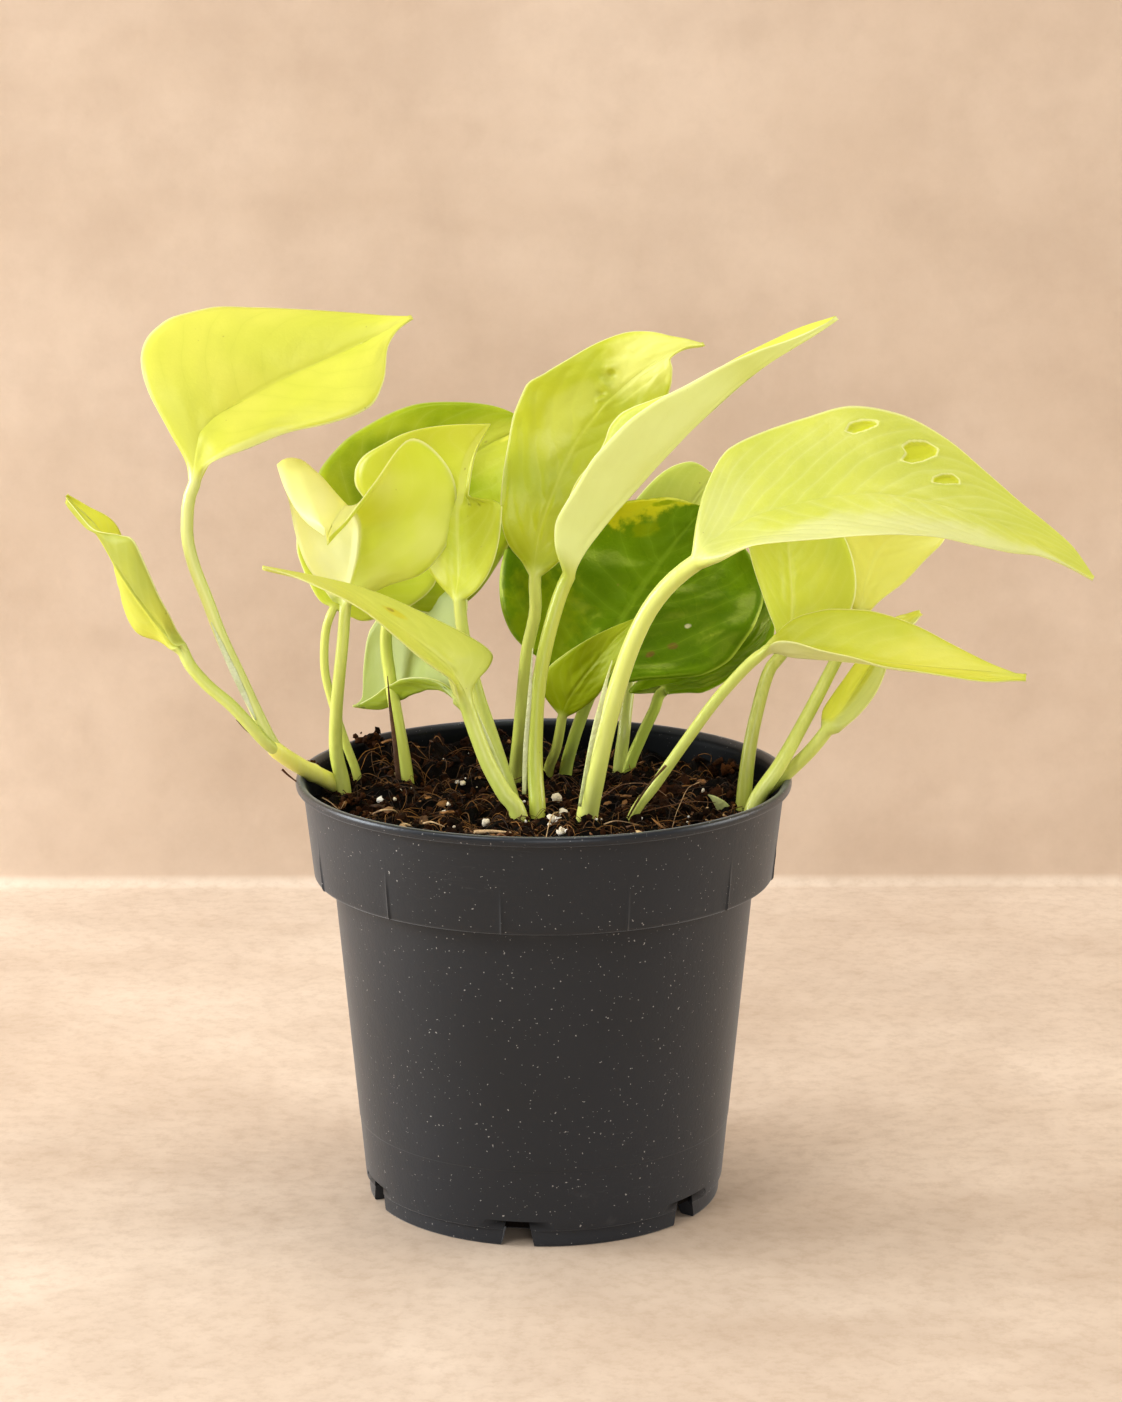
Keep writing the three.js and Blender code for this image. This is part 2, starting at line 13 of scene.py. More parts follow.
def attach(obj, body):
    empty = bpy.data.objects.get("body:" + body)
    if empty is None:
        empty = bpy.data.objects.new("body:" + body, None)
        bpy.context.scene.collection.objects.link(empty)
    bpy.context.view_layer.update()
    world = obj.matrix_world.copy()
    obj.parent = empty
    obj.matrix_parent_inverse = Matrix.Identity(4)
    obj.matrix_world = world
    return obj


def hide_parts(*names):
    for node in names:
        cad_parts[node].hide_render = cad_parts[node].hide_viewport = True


MM = 0.001

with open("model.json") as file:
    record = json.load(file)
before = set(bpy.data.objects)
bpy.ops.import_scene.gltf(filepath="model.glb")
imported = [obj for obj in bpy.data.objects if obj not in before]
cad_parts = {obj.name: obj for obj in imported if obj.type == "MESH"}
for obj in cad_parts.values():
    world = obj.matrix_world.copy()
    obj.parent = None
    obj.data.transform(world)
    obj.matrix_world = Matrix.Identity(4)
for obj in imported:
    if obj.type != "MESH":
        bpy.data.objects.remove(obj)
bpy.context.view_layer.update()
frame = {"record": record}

# Camera and light
IMAGE_HEIGHT = 1402
FOCAL_PIXELS = 3557.3
SENSOR = 36.0
CAMERA_DISTANCE = 875.5
CAMERA_RISE = 0.306
CAMERA_PAN = 0.005
CAMERA_TILT = 0.081
AIM_HEIGHT = 50.0
NEAREST, FARTHEST = 0.01, 20
SKY_COLOUR = (1.0, 0.985, 0.96, 1)
SKY_STRENGTH = 0.42
# Each light: place, point it aims at and size, all in metres, then power and colour
LIGHTS = {
    "key": ((-0.75, -0.9, 1.15), (0, 0, 0.12), 0.6, 8.5, (1.0, 0.99, 0.97)),
    "front": ((0.15, -1.5, 0.3), (0, 0, 0.12), 0.9, 6, (1.0, 0.99, 0.98)),
    "left": ((-0.9, 0.0, 0.35), (0, 0, 0.1), 0.5, 9.8, (0.97, 0.99, 1.0)),
    "right": ((0.9, 0.0, 0.35), (0, 0, 0.1), 0.5, 4.4, (1.0, 0.96, 0.9)),
    "top": ((0.15, 0.0, 1.2), (0, 0, 0.1), 0.6, 4.5, (1.0, 0.99, 0.97)),
}


def srgb(code):
    """Linear colour of a six-digit hex code."""
    out = []
    for i in (0, 2, 4):
        c = int(code[i : i + 2], 16) / 255
        out.append(c / 12.92 if c <= 0.04045 else ((c + 0.055) / 1.055) ** 2.4)
    return (*out, 1.0)


def make_camera():
    camera = bpy.data.cameras.new("camera")
    camera.lens = FOCAL_PIXELS * SENSOR / IMAGE_HEIGHT
    camera.sensor_width = SENSOR
    camera.clip_start = NEAREST
    camera.clip_end = FARTHEST
    run, rise = math.cos(CAMERA_RISE), math.sin(CAMERA_RISE)
    place = Vector((0, -CAMERA_DISTANCE * run, AIM_HEIGHT + CAMERA_DISTANCE * rise))
    lift = CAMERA_TILT - CAMERA_RISE
    level = math.cos(lift)
    ahead = Vector((math.sin(CAMERA_PAN) * level, math.cos(CAMERA_PAN) * level, math.sin(lift)))
    right = Vector((math.cos(CAMERA_PAN), -math.sin(CAMERA_PAN), 0))
    up = right.cross(ahead)
    turn = Matrix((right, up, -ahead)).transposed().to_4x4()
    turn.translation = place * MM
    eye = bpy.data.objects.new("camera", camera)
    eye.matrix_world = turn
    bpy.context.scene.collection.objects.link(eye)
    bpy.context.scene.camera = eye


def make_lights():
    world = bpy.data.worlds.new("studio")
    world.use_nodes = True
    sky = world.node_tree.nodes["Background"]
    sky.inputs["Color"].default_value = SKY_COLOUR
    sky.inputs["Strength"].default_value = SKY_STRENGTH
    bpy.context.scene.world = world
    bpy.context.scene.view_settings.view_transform = "Standard"
    for name, (place, aim, size, power, colour) in LIGHTS.items():
        lamp = bpy.data.lights.new(name, "AREA")
        lamp.shape = "DISK"
        lamp.size = size
        lamp.energy = power
        lamp.color = colour
        holder = bpy.data.objects.new(name, lamp)
        holder.location = place
        way = Vector(aim) - Vector(place)
        holder.rotation_euler = way.to_track_quat("-Z", "Y").to_euler()
        bpy.context.scene.collection.objects.link(holder)


# Shader nodes
class Shade:
    """A material's node tree, with each node made in one call."""

    def __init__(self, name):
        self.material = bpy.data.materials.new(name)
        self.material.use_nodes = True
        self.tree = self.material.node_tree
        self.tree.nodes.clear()
        self.output = self.tree.nodes.new("ShaderNodeOutputMaterial")

    def put(self, socket, value):
        if isinstance(value, bpy.types.NodeSocket):
            self.tree.links.new(value, socket)
        else:
            socket.default_value = value

    def node(self, kind, out=0, settings=None, **inputs):
        """Input names have an underscore for each space."""
        made = self.tree.nodes.new("ShaderNode" + kind)
        for key, value in (settings or {}).items():
            setattr(made, key, value)
        for key, value in inputs.items():
            self.put(made.inputs[key.replace("_", " ")], value)
        return made.outputs[out]

    def row(self, kind, settings, values):
        """A node whose inputs are filled in their own order."""
        made = self.tree.nodes.new("ShaderNode" + kind)
        for key, value in settings.items():
            setattr(made, key, value)
        for socket, value in zip(made.inputs, values):
            self.put(socket, value)
        return made.outputs[0]

    def math(self, operation, a, b=0.0):
        return self.row("Math", {"operation": operation}, (a, b))

    def mix(self, share, a, b):
        """A blend of two colours."""
        made = self.tree.nodes.new("ShaderNodeMix")
        made.data_type = "RGBA"
        for i, value in zip((0, 6, 7), (share, a, b)):
            self.put(made.inputs[i], value)
        return made.outputs[2]

    def blend(self, share, a, b):
        """A blend of two shaders."""
        return self.row("MixShader", {}, (share, a, b))

    def step(self, value, low, high, to_low=0.0, to_high=1.0):
        settings = {"interpolation_type": "SMOOTHSTEP"}
        return self.row("MapRange", settings, (value, low, high, to_low, to_high))

    def tint(self, colour, code, value, low, high, strength=1.0):
        """Goes over to another colour where the value passes from low to high."""
        return self.mix(self.step(value, low, high, 0.0, strength), colour, srgb(code))

    def noise(self, scale, detail=3.0, roughness=0.55, where=None):
        place = self.place() if where is None else where
        return self.node("TexNoise", Vector=place, Scale=scale, Detail=detail, Roughness=roughness)

    def place(self, stretch=(1, 1, 1), turned=(0, 0, 0)):
        coordinates = self.node("TexCoord", "Object")
        if stretch == (1, 1, 1):
            return coordinates
        return self.node("Mapping", Vector=coordinates, Rotation=turned, Scale=stretch)

    def point(self, name, out="Fac"):
        """A value that the mesh carries at each point."""
        return self.node("Attribute", out, {"attribute_name": name})

    def bump(self, height, strength, distance, **normal):
        return self.node("Bump", Height=height, Strength=strength, Distance=distance, **normal)

    def finish(self, shader):
        self.tree.links.new(shader, self.output.inputs["Surface"])
        return self.material


# Meshes
def mesh_object(name, points, faces, smooth=True):
    data = bpy.data.meshes.new(name)
    data.from_pydata([tuple(p) for p in np.asarray(points, float)], [], faces)
    data.update()
    if smooth:
        data.polygons.foreach_set("use_smooth", [True] * len(data.polygons))
    made = bpy.data.objects.new(name, data)
    bpy.context.scene.collection.objects.link(made)
    return made


def ring_faces(rows, sides, flip=False):
    """Quads between rings of points that follow one another in a list."""
    faces = []
    for j in range(rows):
        a = j * sides + np.arange(sides)
        b = j * sides + (np.arange(sides) + 1) % sides
        if flip:
            a, b = b, a
        faces += np.stack([a, b, b + sides, a + sides], 1).tolist()
    return faces


def cap_faces(rows, sides, middle, flip=False):
    """Fans over the first and last ring; their middles are a point and the one after it."""
    faces = []
    top = rows * sides
    for i in range(sides):
        a, b = i, (i + 1) % sides
        if flip:
            a, b = b, a
        faces.append([middle, b, a])
        faces.append([middle + 1, top + a, top + b])
    return faces


def point_value(thing, name, values, kind="FLOAT"):
    attribute = thing.data.attributes.new(name, kind, "POINT")
    field = "vector" if kind == "FLOAT_VECTOR" else "value"
    attribute.data.foreach_set(field, np.asarray(values, np.float32).ravel())


def keep(thing, material, slot, *nodes):
    """Gives a finished piece its material, hangs it under the root body and hides the parts it replaces."""
    thing.data.materials.append(material)
    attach(thing, "root")
    if nodes:
        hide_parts(*nodes)


def smoothstep(x):
    t = np.clip(x, 0.0, 1.0)
    return t * t * (3 - 2 * t)


def unit(a):
    return a / np.linalg.norm(a, axis=-1, keepdims=True)


class Path:
    """A uniform Catmull-Rom curve through points, with reflected ends."""

    def __init__(self, points):
        p = np.asarray(points, float)
        self.points = np.vstack([2 * p[0] - p[1], p, 2 * p[-1] - p[-2]])
        self.last = len(p) - 1

    def at(self, t):
        t = np.clip(np.asarray(t, float), 0, self.last)
        i = np.minimum(t.astype(int), self.last - 1)
        f = (t - i)[..., None]
        a, b, c, d = (self.points[i + k] for k in range(4))
        return 0.5 * (
            2 * b
            + (c - a) * f
            + (2 * a - 5 * b + 4 * c - d) * f**2
            + (3 * b - a - 3 * c + d) * f**3
        )

    def along(self, t):
        e = 1e-3
        t = np.clip(np.asarray(t, float), e, self.last - e)
        return unit(self.at(t + e) - self.at(t - e))

    def even(self, start, end, shares):
        """Parameters at shares of the length between two parameters, and that length."""
        fine = np.linspace(start, end, 600)
        steps = np.linalg.norm(np.diff(self.at(fine), axis=0), axis=1)
        length = np.r_[0, np.cumsum(steps)]
        return np.interp(np.asarray(shares) * length[-1], length, fine), length[-1]


# Leaves
HALF_COLUMNS = 20
BLADE_ROWS = 76
STALK_ROWS = 26
ROOT_DEPTH = 13.0
ROOT_SPREAD = 0.3
DRIP_TIP = 0.07
DRIP_TIP_WIDTH = 0.08
TIP_CORE = 0.25
LEAST_REACH = 0.35
BASE_BLEND = 0.15
TEAR_LENGTH = 0.05
VEIN_LEAN = (0.2, 0.16)
VEIN_SWAY = 0.5
RIB_THICKNESS = 0.5
EDGE_THICKNESS = 0.09
BLADE_THICKNESS = 0.2
RIB_SPREAD = 1.05
GROOVE_SPREAD = 0.7
BEVEL = 0.08
CREST_PLACE, CREST_SPREAD = 0.6, 0.14
COLUMN_CROWDING = 0.75
ROW_CROWDING = 1.25
PUCKER_SIZE = 6.5
DENT_SIZE = 7.0
FAR_FROM_WINDOW = 9.0
WINDOW_DEPTH, WINDOW_SLOPE = 0.5, 0.5
WINDOW_RIM, RIM_PLACE, RIM_SPREAD = 0.25, 0.15, 0.3
WINDOW_TONE_AND_SHADE_COLOUR, WINDOW_EDGE_COLOUR = "d6da2c", "f2f4a0"
STALK_SIDE_SHADE_COLOUR = "8fa62c"
SPECK_COLOUR = "8d7a34"
LATTICE = 64
WHOLE_REACH = ((0, 1), (1, 1))
COLOUR_KEYS = ("main", "second", "pale", "under", "stalk")


def widths(*percents):
    """Half widths from pairs in per cent: how far along the blade, how much of its reach."""
    pairs = np.reshape(percents, (-1, 2)) / 100
    return ((0, 0), *pairs.tolist(), (1, 0))


# Each leaf has the middle lines of its stalk and its blade, in mm, and how far the left and right
# halves reach out from the blade's middle line. The shape says where the blade is widest, then
# how full its shoulder and its taper are; lists of widths go before it. Then come the stalk's
# radius at the foot and at the neck, how much each half bows, a crest across each half, how deep
# the foot stands, and where the right half is torn off and how much of it stays.
LEAVES = {
    "leaf_01": dict(
        stalk=[
            [-60, -6.3, 109.4], [-64, -10.3, 113.8], [-67.9, -10.7, 121.7], [-72.1, -10, 131.1],
            [-76.2, -9.5, 140.2], [-79.5, -9, 149.3], [-83, -8.3, 159], [-84, -8, 167],
        ],
        rib=[[-82, -8, 177], [-73, -5, 187], [-58, 2, 199], [-43, 5, 209], [-31, 2, 215]],
        left=[[-43, 20, 26], [-2, 10, 5]],
        right=[[-5, -4, 3], [4, -11, -8.5], [13, -27, -20]],
        shape=(0.5, 1.15, 0.5),
        radius=(1.5, 1.5),
        bow=(2, 1.5),
        depth=0.3,
        left_widths=widths(
            4, 6, 10, 25, 18, 54, 27, 79, 36, 96, 45, 106, 53, 107, 63, 94, 72, 77, 80, 60, 87, 44, 93, 26
        ),
        right_widths=widths(
            5, 20, 10, 45, 18, 83, 27, 98, 40, 94, 54, 99, 63, 95, 72, 83, 80, 54, 87, 18, 93, 6
        ),
    ),
    "leaf_02": dict(
        stalk=[
            [-61, -7.2, 110.2], [-65.6, -12.3, 115], [-70.3, -13.5, 120.7], [-74.3, -13.5, 125.1],
            [-79.4, -13, 129.4], [-83.6, -12.3, 134.2],
        ],
        rib=[[-86, -11, 138.5], [-92.5, -9, 146], [-100.5, -8, 157], [-106.6, -6, 167], [-113, -4, 173.4]],
        left=[
            [0.4, 0, -0.4], [2.8, -1.5, -1.2], [5.2, -4, -0.4], [6, -6, 1], [6.2, -7, 2.7],
            [6.2, -7, 3.8], [5.8, -5, 0], [3.3, -3, -2.9], [0.2, 0, -0.2],
        ],
        right=[
            [-0.3, 0, -0.4], [-1.4, 1.4, -2.8], [-3, 3, -5.4], [-3.1, 5, -4.3], [-1.3, 6, -1.9],
            [1.9, 9, 0], [2.9, 8, 1], [1.4, 4, 1.1], [0.2, 0, 0.3],
        ],
        left_widths=WHOLE_REACH,
        right_widths=WHOLE_REACH,
        shape=(0.35, 0.7, 0.9),
        radius=(1.45, 1.45),
        bow=(-1.5, -1),
        depth=1.5,
    ),
    "leaf_03": dict(
        stalk=[[-48.9, 6, 100], [-50.3, 3, 109.4], [-50, 0, 119.3], [-49.1, -2, 128.3], [-48, -2, 138.1]],
        rib=[
            [-47, -1, 149], [-45, 0, 158.5], [-45, 2, 165], [-46.6, -4, 168.6],
            [-49.2, -12, 167.6], [-50.6, -18, 165.6],
        ],
        left=[
            [1.3, 0, -1.3], [8, 1, -2.6], [16.5, 2, -4], [22.8, 3, 0.6], [23.6, 5, 10],
            [16.1, 8, 16.7], [9, 5, 8.6], [3.8, 2, 3], [0.5, 0, 0.6],
        ],
        right=[
            [-2, 0, -1.8], [-6.3, 1, -3], [-11.4, 2, -2.3], [-14.5, 3, 0.8], [-15.4, 4, 5],
            [-16.6, 7, 11.2], [-12.8, 5, 6.6], [-7, 2, 2.2], [-0.2, 0, 0.6],
        ],
        left_widths=WHOLE_REACH,
        right_widths=WHOLE_REACH,
        shape=(0.45, 0.8, 0.8),
        radius=(2.1, 1.4),
        bow=(-1.5, 2.2),
        crest=(0, 4),
    ),
    "leaf_04": dict(
        stalk=[[-45.9, 15, 100], [-48.5, 13, 109], [-51.4, 12, 119], [-53.3, 12, 127.7], [-53, 12, 137]],
        rib=[[-51, 12, 143], [-47, 16, 149], [-39, 20, 157], [-29, 20, 167]],
        left=[[-12, -2, -2], [-22, 5, 29]],
        right=[[2, -1, -10], [29, -15, -17]],
        shape=(0.4, 0.75, 1.15),
        radius=(1.1, 1.05),
        left_widths=widths(
            5, 25, 10, 42, 15, 56, 20, 70, 30, 93, 40, 100, 50, 82, 60, 50, 70, 30, 80, 15, 90, 6
        ),
        right_widths=widths(
            5, 25, 10, 42, 15, 60, 20, 68, 30, 74, 40, 76, 50, 73, 60, 66, 70, 52, 80, 37, 90, 15
        ),
    ),
    "leaf_05": dict(
        stalk=[
            [-7.2, -13, 100], [-9.9, -11.5, 109], [-13.2, -8.5, 118.6], [-15.7, -6, 125.8], [-18.8, -4, 138],
        ],
        rib=[[-20, -4, 148], [-20, 0, 158], [-19, 5, 171], [-17, 7, 181], [-13, 5, 189]],
        left=[[-6, 11, 1], [-39, 13, 3]],
        right=[[8, -6, -9], [11, -7, 11]],
        shape=(0.5, 1.1, 0.6),
        radius=(1.9, 1.5),
        torn=(0.52, 0.1),
        left_widths=widths(
            5, 45, 10, 62, 15, 68, 20, 80, 30, 98, 40, 109, 50, 112, 60, 103, 70, 88, 80, 66, 87, 52, 93, 36,
            97, 20,
        ),
    ),
    "leaf_06": dict(
        stalk=[[-6.3, -19.5, 100.4], [-9.2, -19, 104.5], [-13.3, -17.5, 111.8], [-16.9, -16, 121.3]],
        rib=[
            [-18.3, -16, 125.6], [-21.6, -17.5, 133], [-25.9, -20, 138.1], [-39.1, -26, 150.1],
            [-51.9, -30, 157.9], [-64, -34, 162],
        ],
        left=[[3, -1, -2], [-4, -24, 3]],
        right=[[21, 14, -1], [-15, 8, 4]],
        shape=(0.3, 0.7, 1.1),
        radius=(2.4, 1.8),
        left_widths=widths(
            4, 6, 8, 20, 13, 50, 18, 76, 25, 93, 33, 100, 42, 98, 50, 90, 60, 74, 70, 54, 80, 32, 88, 15
        ),
        right_widths=widths(
            4, 6, 8, 20, 13, 50, 18, 76, 25, 93, 33, 100, 42, 98, 50, 90, 60, 74, 70, 54, 80, 32, 88, 15
        ),
    ),
    "leaf_07": dict(
        stalk=[[-11, 10, 99], [-14, 6, 109], [-17, 4, 117]],
        rib=[[-21, 4, 122], [-27.2, 12, 122.2], [-34.6, 24, 116.5], [-39.8, 30, 113], [-47.5, 33, 113.6]],
        left=[[19, 8, 19.6], [-10, 8, 26.2]],
        right=[[6, -4, 0.2], [-1.5, -3, 6], [-9, -2, 11.9]],
        shape=(0.5, 0.7, 0.6),
        radius=(1.6, 1.3),
        right_widths=widths(
            10, 60, 20, 110, 30, 120, 40, 118, 50, 109, 60, 84, 70, 66, 80, 45, 87, 28, 93, 14
        ),
        left_widths=widths(
            5, 28, 10, 40, 20, 56, 25, 74, 30, 98, 40, 112, 50, 112, 60, 108, 70, 102, 80, 80, 87, 42, 93, 10
        ),
    ),
    "leaf_08": dict(
        stalk=[[-34, 20, 99], [-36, 21, 112], [-38, 25, 123], [-39, 27, 133]],
        rib=[[-37, 28, 142], [-33, 30, 153], [-27, 37, 165], [-17, 41, 176], [-3, 40, 184]],
        left=[[-35, 5, 4], [-11, 8, 19]],
        right=[[17, 1, -17], [17, -25, -4]],
        shape=(0.45, 0.7, 0.8),
        radius=(1.9, 1.5),
        left_widths=widths(
            5, 30, 10, 50, 20, 74, 30, 90, 40, 103, 50, 105, 60, 98, 70, 85, 80, 63, 87, 47, 93, 30
        ),
    ),
    "leaf_09": dict(
        stalk=[[-7, 21, 99], [-6, 14, 111], [-5, 12, 123], [-4, 10, 133], [-2, 8, 143]],
        rib=[[-2, 7, 152], [0, 9, 165], [8, 13, 183], [19, 12, 196], [31.5, 6, 206.3], [38, 4, 208.2]],
        left=[[-15, 3, -4], [-13, 13, 22]],
        right=[[10, -4, -11], [14, -12, 4]],
        shape=(0.45, 0.9, 0.7),
        radius=(1.9, 1.5),
        left_widths=widths(
            5, 16, 10, 40, 18, 66, 27, 84, 36, 95, 44, 102, 50, 102, 56, 87, 63, 73, 72, 60, 80, 47, 87, 30,
            93, 12,
        ),
        right_widths=widths(
            4, 16, 10, 38, 18, 62, 30, 92, 45, 102, 55, 97, 64, 84, 72, 64, 80, 36, 87, 8, 93, 3
        ),
    ),
    "leaf_10": dict(
        stalk=[[-1.5, -15, 100], [-2, -12.5, 107], [-2, -11, 117], [-1, -10, 130], [2, -9, 144]],
        rib=[[6, -8, 155], [13, -10, 165], [28, -14, 182], [47, -20, 203], [67, -24, 218]],
        left=[[-4, 4, 14], [-27, 19, -1]],
        right=[[-11, -1, 10], [-7, -8, 9]],
        shape=(0.3, 0.6, 1),
        radius=(2.1, 1.7),
        left_widths=widths(
            4, 60, 10, 82, 18, 88, 27, 86, 34, 90, 40, 96, 45, 94, 50, 85, 55, 71, 63, 50, 72, 37, 80, 31,
            87, 25, 94, 17,
        ),
        right_widths=widths(
            4, 40, 10, 69, 15, 78, 20, 86, 30, 102, 40, 105, 50, 93, 60, 70, 70, 52, 80, 33, 87, 17, 93, 7
        ),
    ),
    "leaf_11": dict(
        stalk=[[10, -25, 99], [12, -29, 111], [15, -30, 125], [20, -31, 142], [26, -32, 154]],
        rib=[[35, -34, 163], [50, -38, 172], [76, -44, 178], [102, -50, 174], [123, -54, 163]],
        left=[[-13, 14, 23], [8, 16, 16]],
        right=[[5, -11, 1], [-9, -15, -10]],
        shape=(0.38, 0.85, 0.9),
        radius=(2.8, 2),
        left_widths=widths(
            4, 20, 10, 46, 18, 74, 27, 85, 36, 92, 45, 99, 54, 94, 63, 79, 72, 56, 80, 38, 87, 29, 93, 20
        ),
        right_widths=widths(
            4, 32, 10, 58, 18, 90, 27, 98, 36, 103, 45, 106, 54, 95, 63, 73, 72, 54, 80, 36, 87, 14, 93, 5
        ),
    ),
    "leaf_12": dict(
        stalk=[[5.5, 23, 99.5], [7.2, 17, 108.4], [9.4, 15, 115.7]],
        rib=[[12, 13, 123], [15, 16, 132], [24, 23, 145], [32, 29, 155], [40, 34, 164]],
        left=[[-33, 0, 2], [-26, 12, 21]],
        right=[[23, -6, -7], [34, 1, -2]],
        shape=(0.45, 0.6, 0.6),
        radius=(1.7, 1.5),
        left_widths=widths(
            5, 25, 10, 42, 15, 61, 20, 74, 30, 92, 40, 103, 50, 108, 60, 94, 70, 72, 80, 50, 87, 36, 93, 25
        ),
        right_widths=widths(
            5, 20, 10, 42, 15, 70, 20, 92, 30, 106, 40, 107, 50, 102, 60, 92, 70, 75, 80, 50, 87, 33, 93, 12
        ),
    ),
    "leaf_13": dict(
        stalk=[[21, 25, 99], [24.2, 25.5, 107.4], [27.5, 26.3, 114.4]],
        rib=[[30, 28, 119], [40, 26, 124], [51, 24, 131], [58, 22, 142]],
        left=[[-27, 4, -10], [-13, 6, 0], [0, 8, 13], [6, 7, 19], [11, 5, 24]],
        right=[[-4, -8, -1], [5, -8, -8]],
        shape=(0.4, 0.7, 0.8),
        radius=(1.7, 1.4),
        right_widths=widths(10, 60, 20, 66, 30, 85, 40, 80, 50, 69, 60, 64, 70, 58, 80, 45, 87, 25, 93, 5),
    ),
    "leaf_14": dict(
        stalk=[[19, 29, 99], [20, 28, 108], [21, 32, 116]],
        rib=[[23, 38, 127], [28, 43, 141], [35, 50, 157], [43, 53, 169]],
        left=[[-20, -2, -11], [-8, 6, 20]],
        right=[[14, -3, -9], [12, 3, 18]],
        shape=(0.45, 0.7, 0.65),
        radius=(1.8, 1.5),
        left_widths=widths(10, 50, 20, 75, 30, 92, 40, 99, 50, 99, 60, 92, 70, 80, 80, 65, 87, 50, 93, 33),
    ),
    "leaf_15": dict(
        stalk=[[1, 23, 99], [3, 15, 107], [4, 11, 113]],
        rib=[[4.7, 9.2, 117.2], [7, 6.5, 122.5], [11.5, 2.5, 130], [17.5, -0.5, 138], [25, -4, 146]],
        left=[[-11, 3, 2], [-2, 2, 3]],
        right=[[2, 1, -4], [4, -8, -3]],
        shape=(0.35, 1, 0.9),
        radius=(1.5, 1.2),
    ),
    "leaf_16": dict(
        stalk=[[21, -23, 100], [26.2, -23, 107.6], [33.9, -23, 119], [42.2, -23, 130.3]],
        rib=[[52, -24, 140], [60, -26, 139], [76, -30, 138], [94, -34, 137], [111, -36, 136]],
        left=[[-3, 14, 8], [4, 18, 12]],
        right=[
            [-0.6, -1, 0.8], [-2.1, -4, 4.8], [-2.8, -7, 4.9], [-2.9, -9, 4.1], [-3, -9, 1.8],
            [-2.8, -7, 0.7], [-2.4, -5, 0.3], [-1.4, -2.5, -0.1], [0, -0.3, -0.2],
        ],
        shape=(0.35, 0.7, 1),
        radius=(1.2, 1.35),
        left_widths=widths(
            5, 30, 10, 58, 15, 79, 20, 92, 30, 105, 40, 102, 50, 88, 60, 69, 70, 49, 80, 31, 87, 19, 93, 10
        ),
        right_widths=WHOLE_REACH,
    ),
    "leaf_17": dict(
        stalk=[[48, -7.5, 99.5], [49.2, -7, 111.7], [51.1, -5.5, 121.2], [54, -2.5, 130.5]],
        rib=[[58, 0, 136], [59, 5, 146], [59, 11, 160], [61, 14, 175]],
        left=[[-3, -2, 1], [-15, 6, 3]],
        right=[[20, -5, -1], [9, 2, 10]],
        shape=(0.45, 0.7, 0.8),
        radius=(2.2, 1.5),
    ),
    "leaf_18": dict(
        stalk=[[50.3, -11.5, 99.7], [56.5, -9, 109], [63.2, -4, 119.8], [69.8, 0, 131.7]],
        rib=[[76, 4, 143], [78, 8, 151], [83, 12, 159], [97, 14, 166]],
        left=[[-4, -1, 1], [-21, 0, 12]],
        right=[[3, -5, 0], [19, -2, -4]],
        shape=(0.4, 0.9, 0.9),
        radius=(2.2, 1.5),
    ),
    "leaf_19": dict(
        stalk=[[51.5, -3, 98.8], [58.5, -5, 106], [64, -6, 111.8]],
        rib=[[68.6, -6, 117.8], [72.8, -5.5, 123.6], [76.7, -4, 129.1], [82.1, -1, 135.8], [90.6, 4, 143.4]],
        left=[
            [-1.1, 1, -0.8], [-3.4, 3, -0.6], [-4, 4, -0.1], [-3.4, 4, 0.6], [-2.8, 4, 0.7],
            [-1.7, 4, 1.6], [-0.7, 3, 3.9], [-0.2, 2, 2.7], [0, 0, 0.5],
        ],
        right=[
            [0.9, -1, -0.5], [2.1, -3, -0.9], [3.6, -4, 0.7], [4.1, -4, 2], [3.9, -4, 3.4],
            [3.6, -3, 3.3], [2.7, -2, 3], [1.4, -1, 1.6], [0.5, 0, -0.3],
        ],
        shape=(0.3, 0.7, 1),
        radius=(2.1, 1.6),
        left_widths=WHOLE_REACH,
        right_widths=WHOLE_REACH,
    ),
}


def grain(x, y, size, seed):
    """Smooth random heights from 0 to 1 with bumps of about the given size."""
    table = np.random.default_rng(seed).random((LATTICE, LATTICE))
    gx, gy = x / size + LATTICE * 4, y / size + LATTICE * 4
    ix, iy = np.floor(gx).astype(int), np.floor(gy).astype(int)
    fx, fy = smoothstep(gx - ix), smoothstep(gy - iy)

    def at(i, j):
        return table[(ix + i) % LATTICE, (iy + j) % LATTICE]

    near = at(0, 0) * (1 - fx) + at(1, 0) * fx
    far = at(0, 1) * (1 - fx) + at(1, 1) * fx
    return near * (1 - fy) + far * fy


def outline(u, widest, shoulder, taper):
    """Share of a half blade's full width at a share of its length."""
    low = np.clip(u / widest, 0, 1)
    rising = np.power(1 - (1 - low) ** 2, shoulder)
    high = np.clip((u - widest) / (1 - DRIP_TIP - widest), 0, 1)
    falling = np.power(np.clip(np.cos(np.pi / 2 * high), 0, 1), taper)
    tail = DRIP_TIP_WIDTH * np.minimum((1 - u) / (2 * DRIP_TIP), 1)
    return np.where(u < widest, rising, np.maximum(falling, tail))


def through(x, points):
    """A smooth curve through points that never overshoots them."""
    xs, ys = np.array(points, float).T
    step = np.diff(xs)
    rise = np.diff(ys) / step
    same_way = rise[:-1] * rise[1:] > 0
    mean = 2 * rise[:-1] * rise[1:] / np.where(same_way, rise[:-1] + rise[1:], 1)
    slope = np.r_[rise[0], np.where(same_way, mean, 0), rise[-1]]
    i = np.clip(np.searchsorted(xs, x) - 1, 0, len(step) - 1)
    t = (x - xs[i]) / step[i]
    return (
        (1 + 2 * t) * (1 - t) ** 2 * ys[i]
        + t * (1 - t) ** 2 * step[i] * slope[i]
        + t * t * (3 - 2 * t) * ys[i + 1]
        - t * t * (1 - t) * step[i] * slope[i + 1]
    )


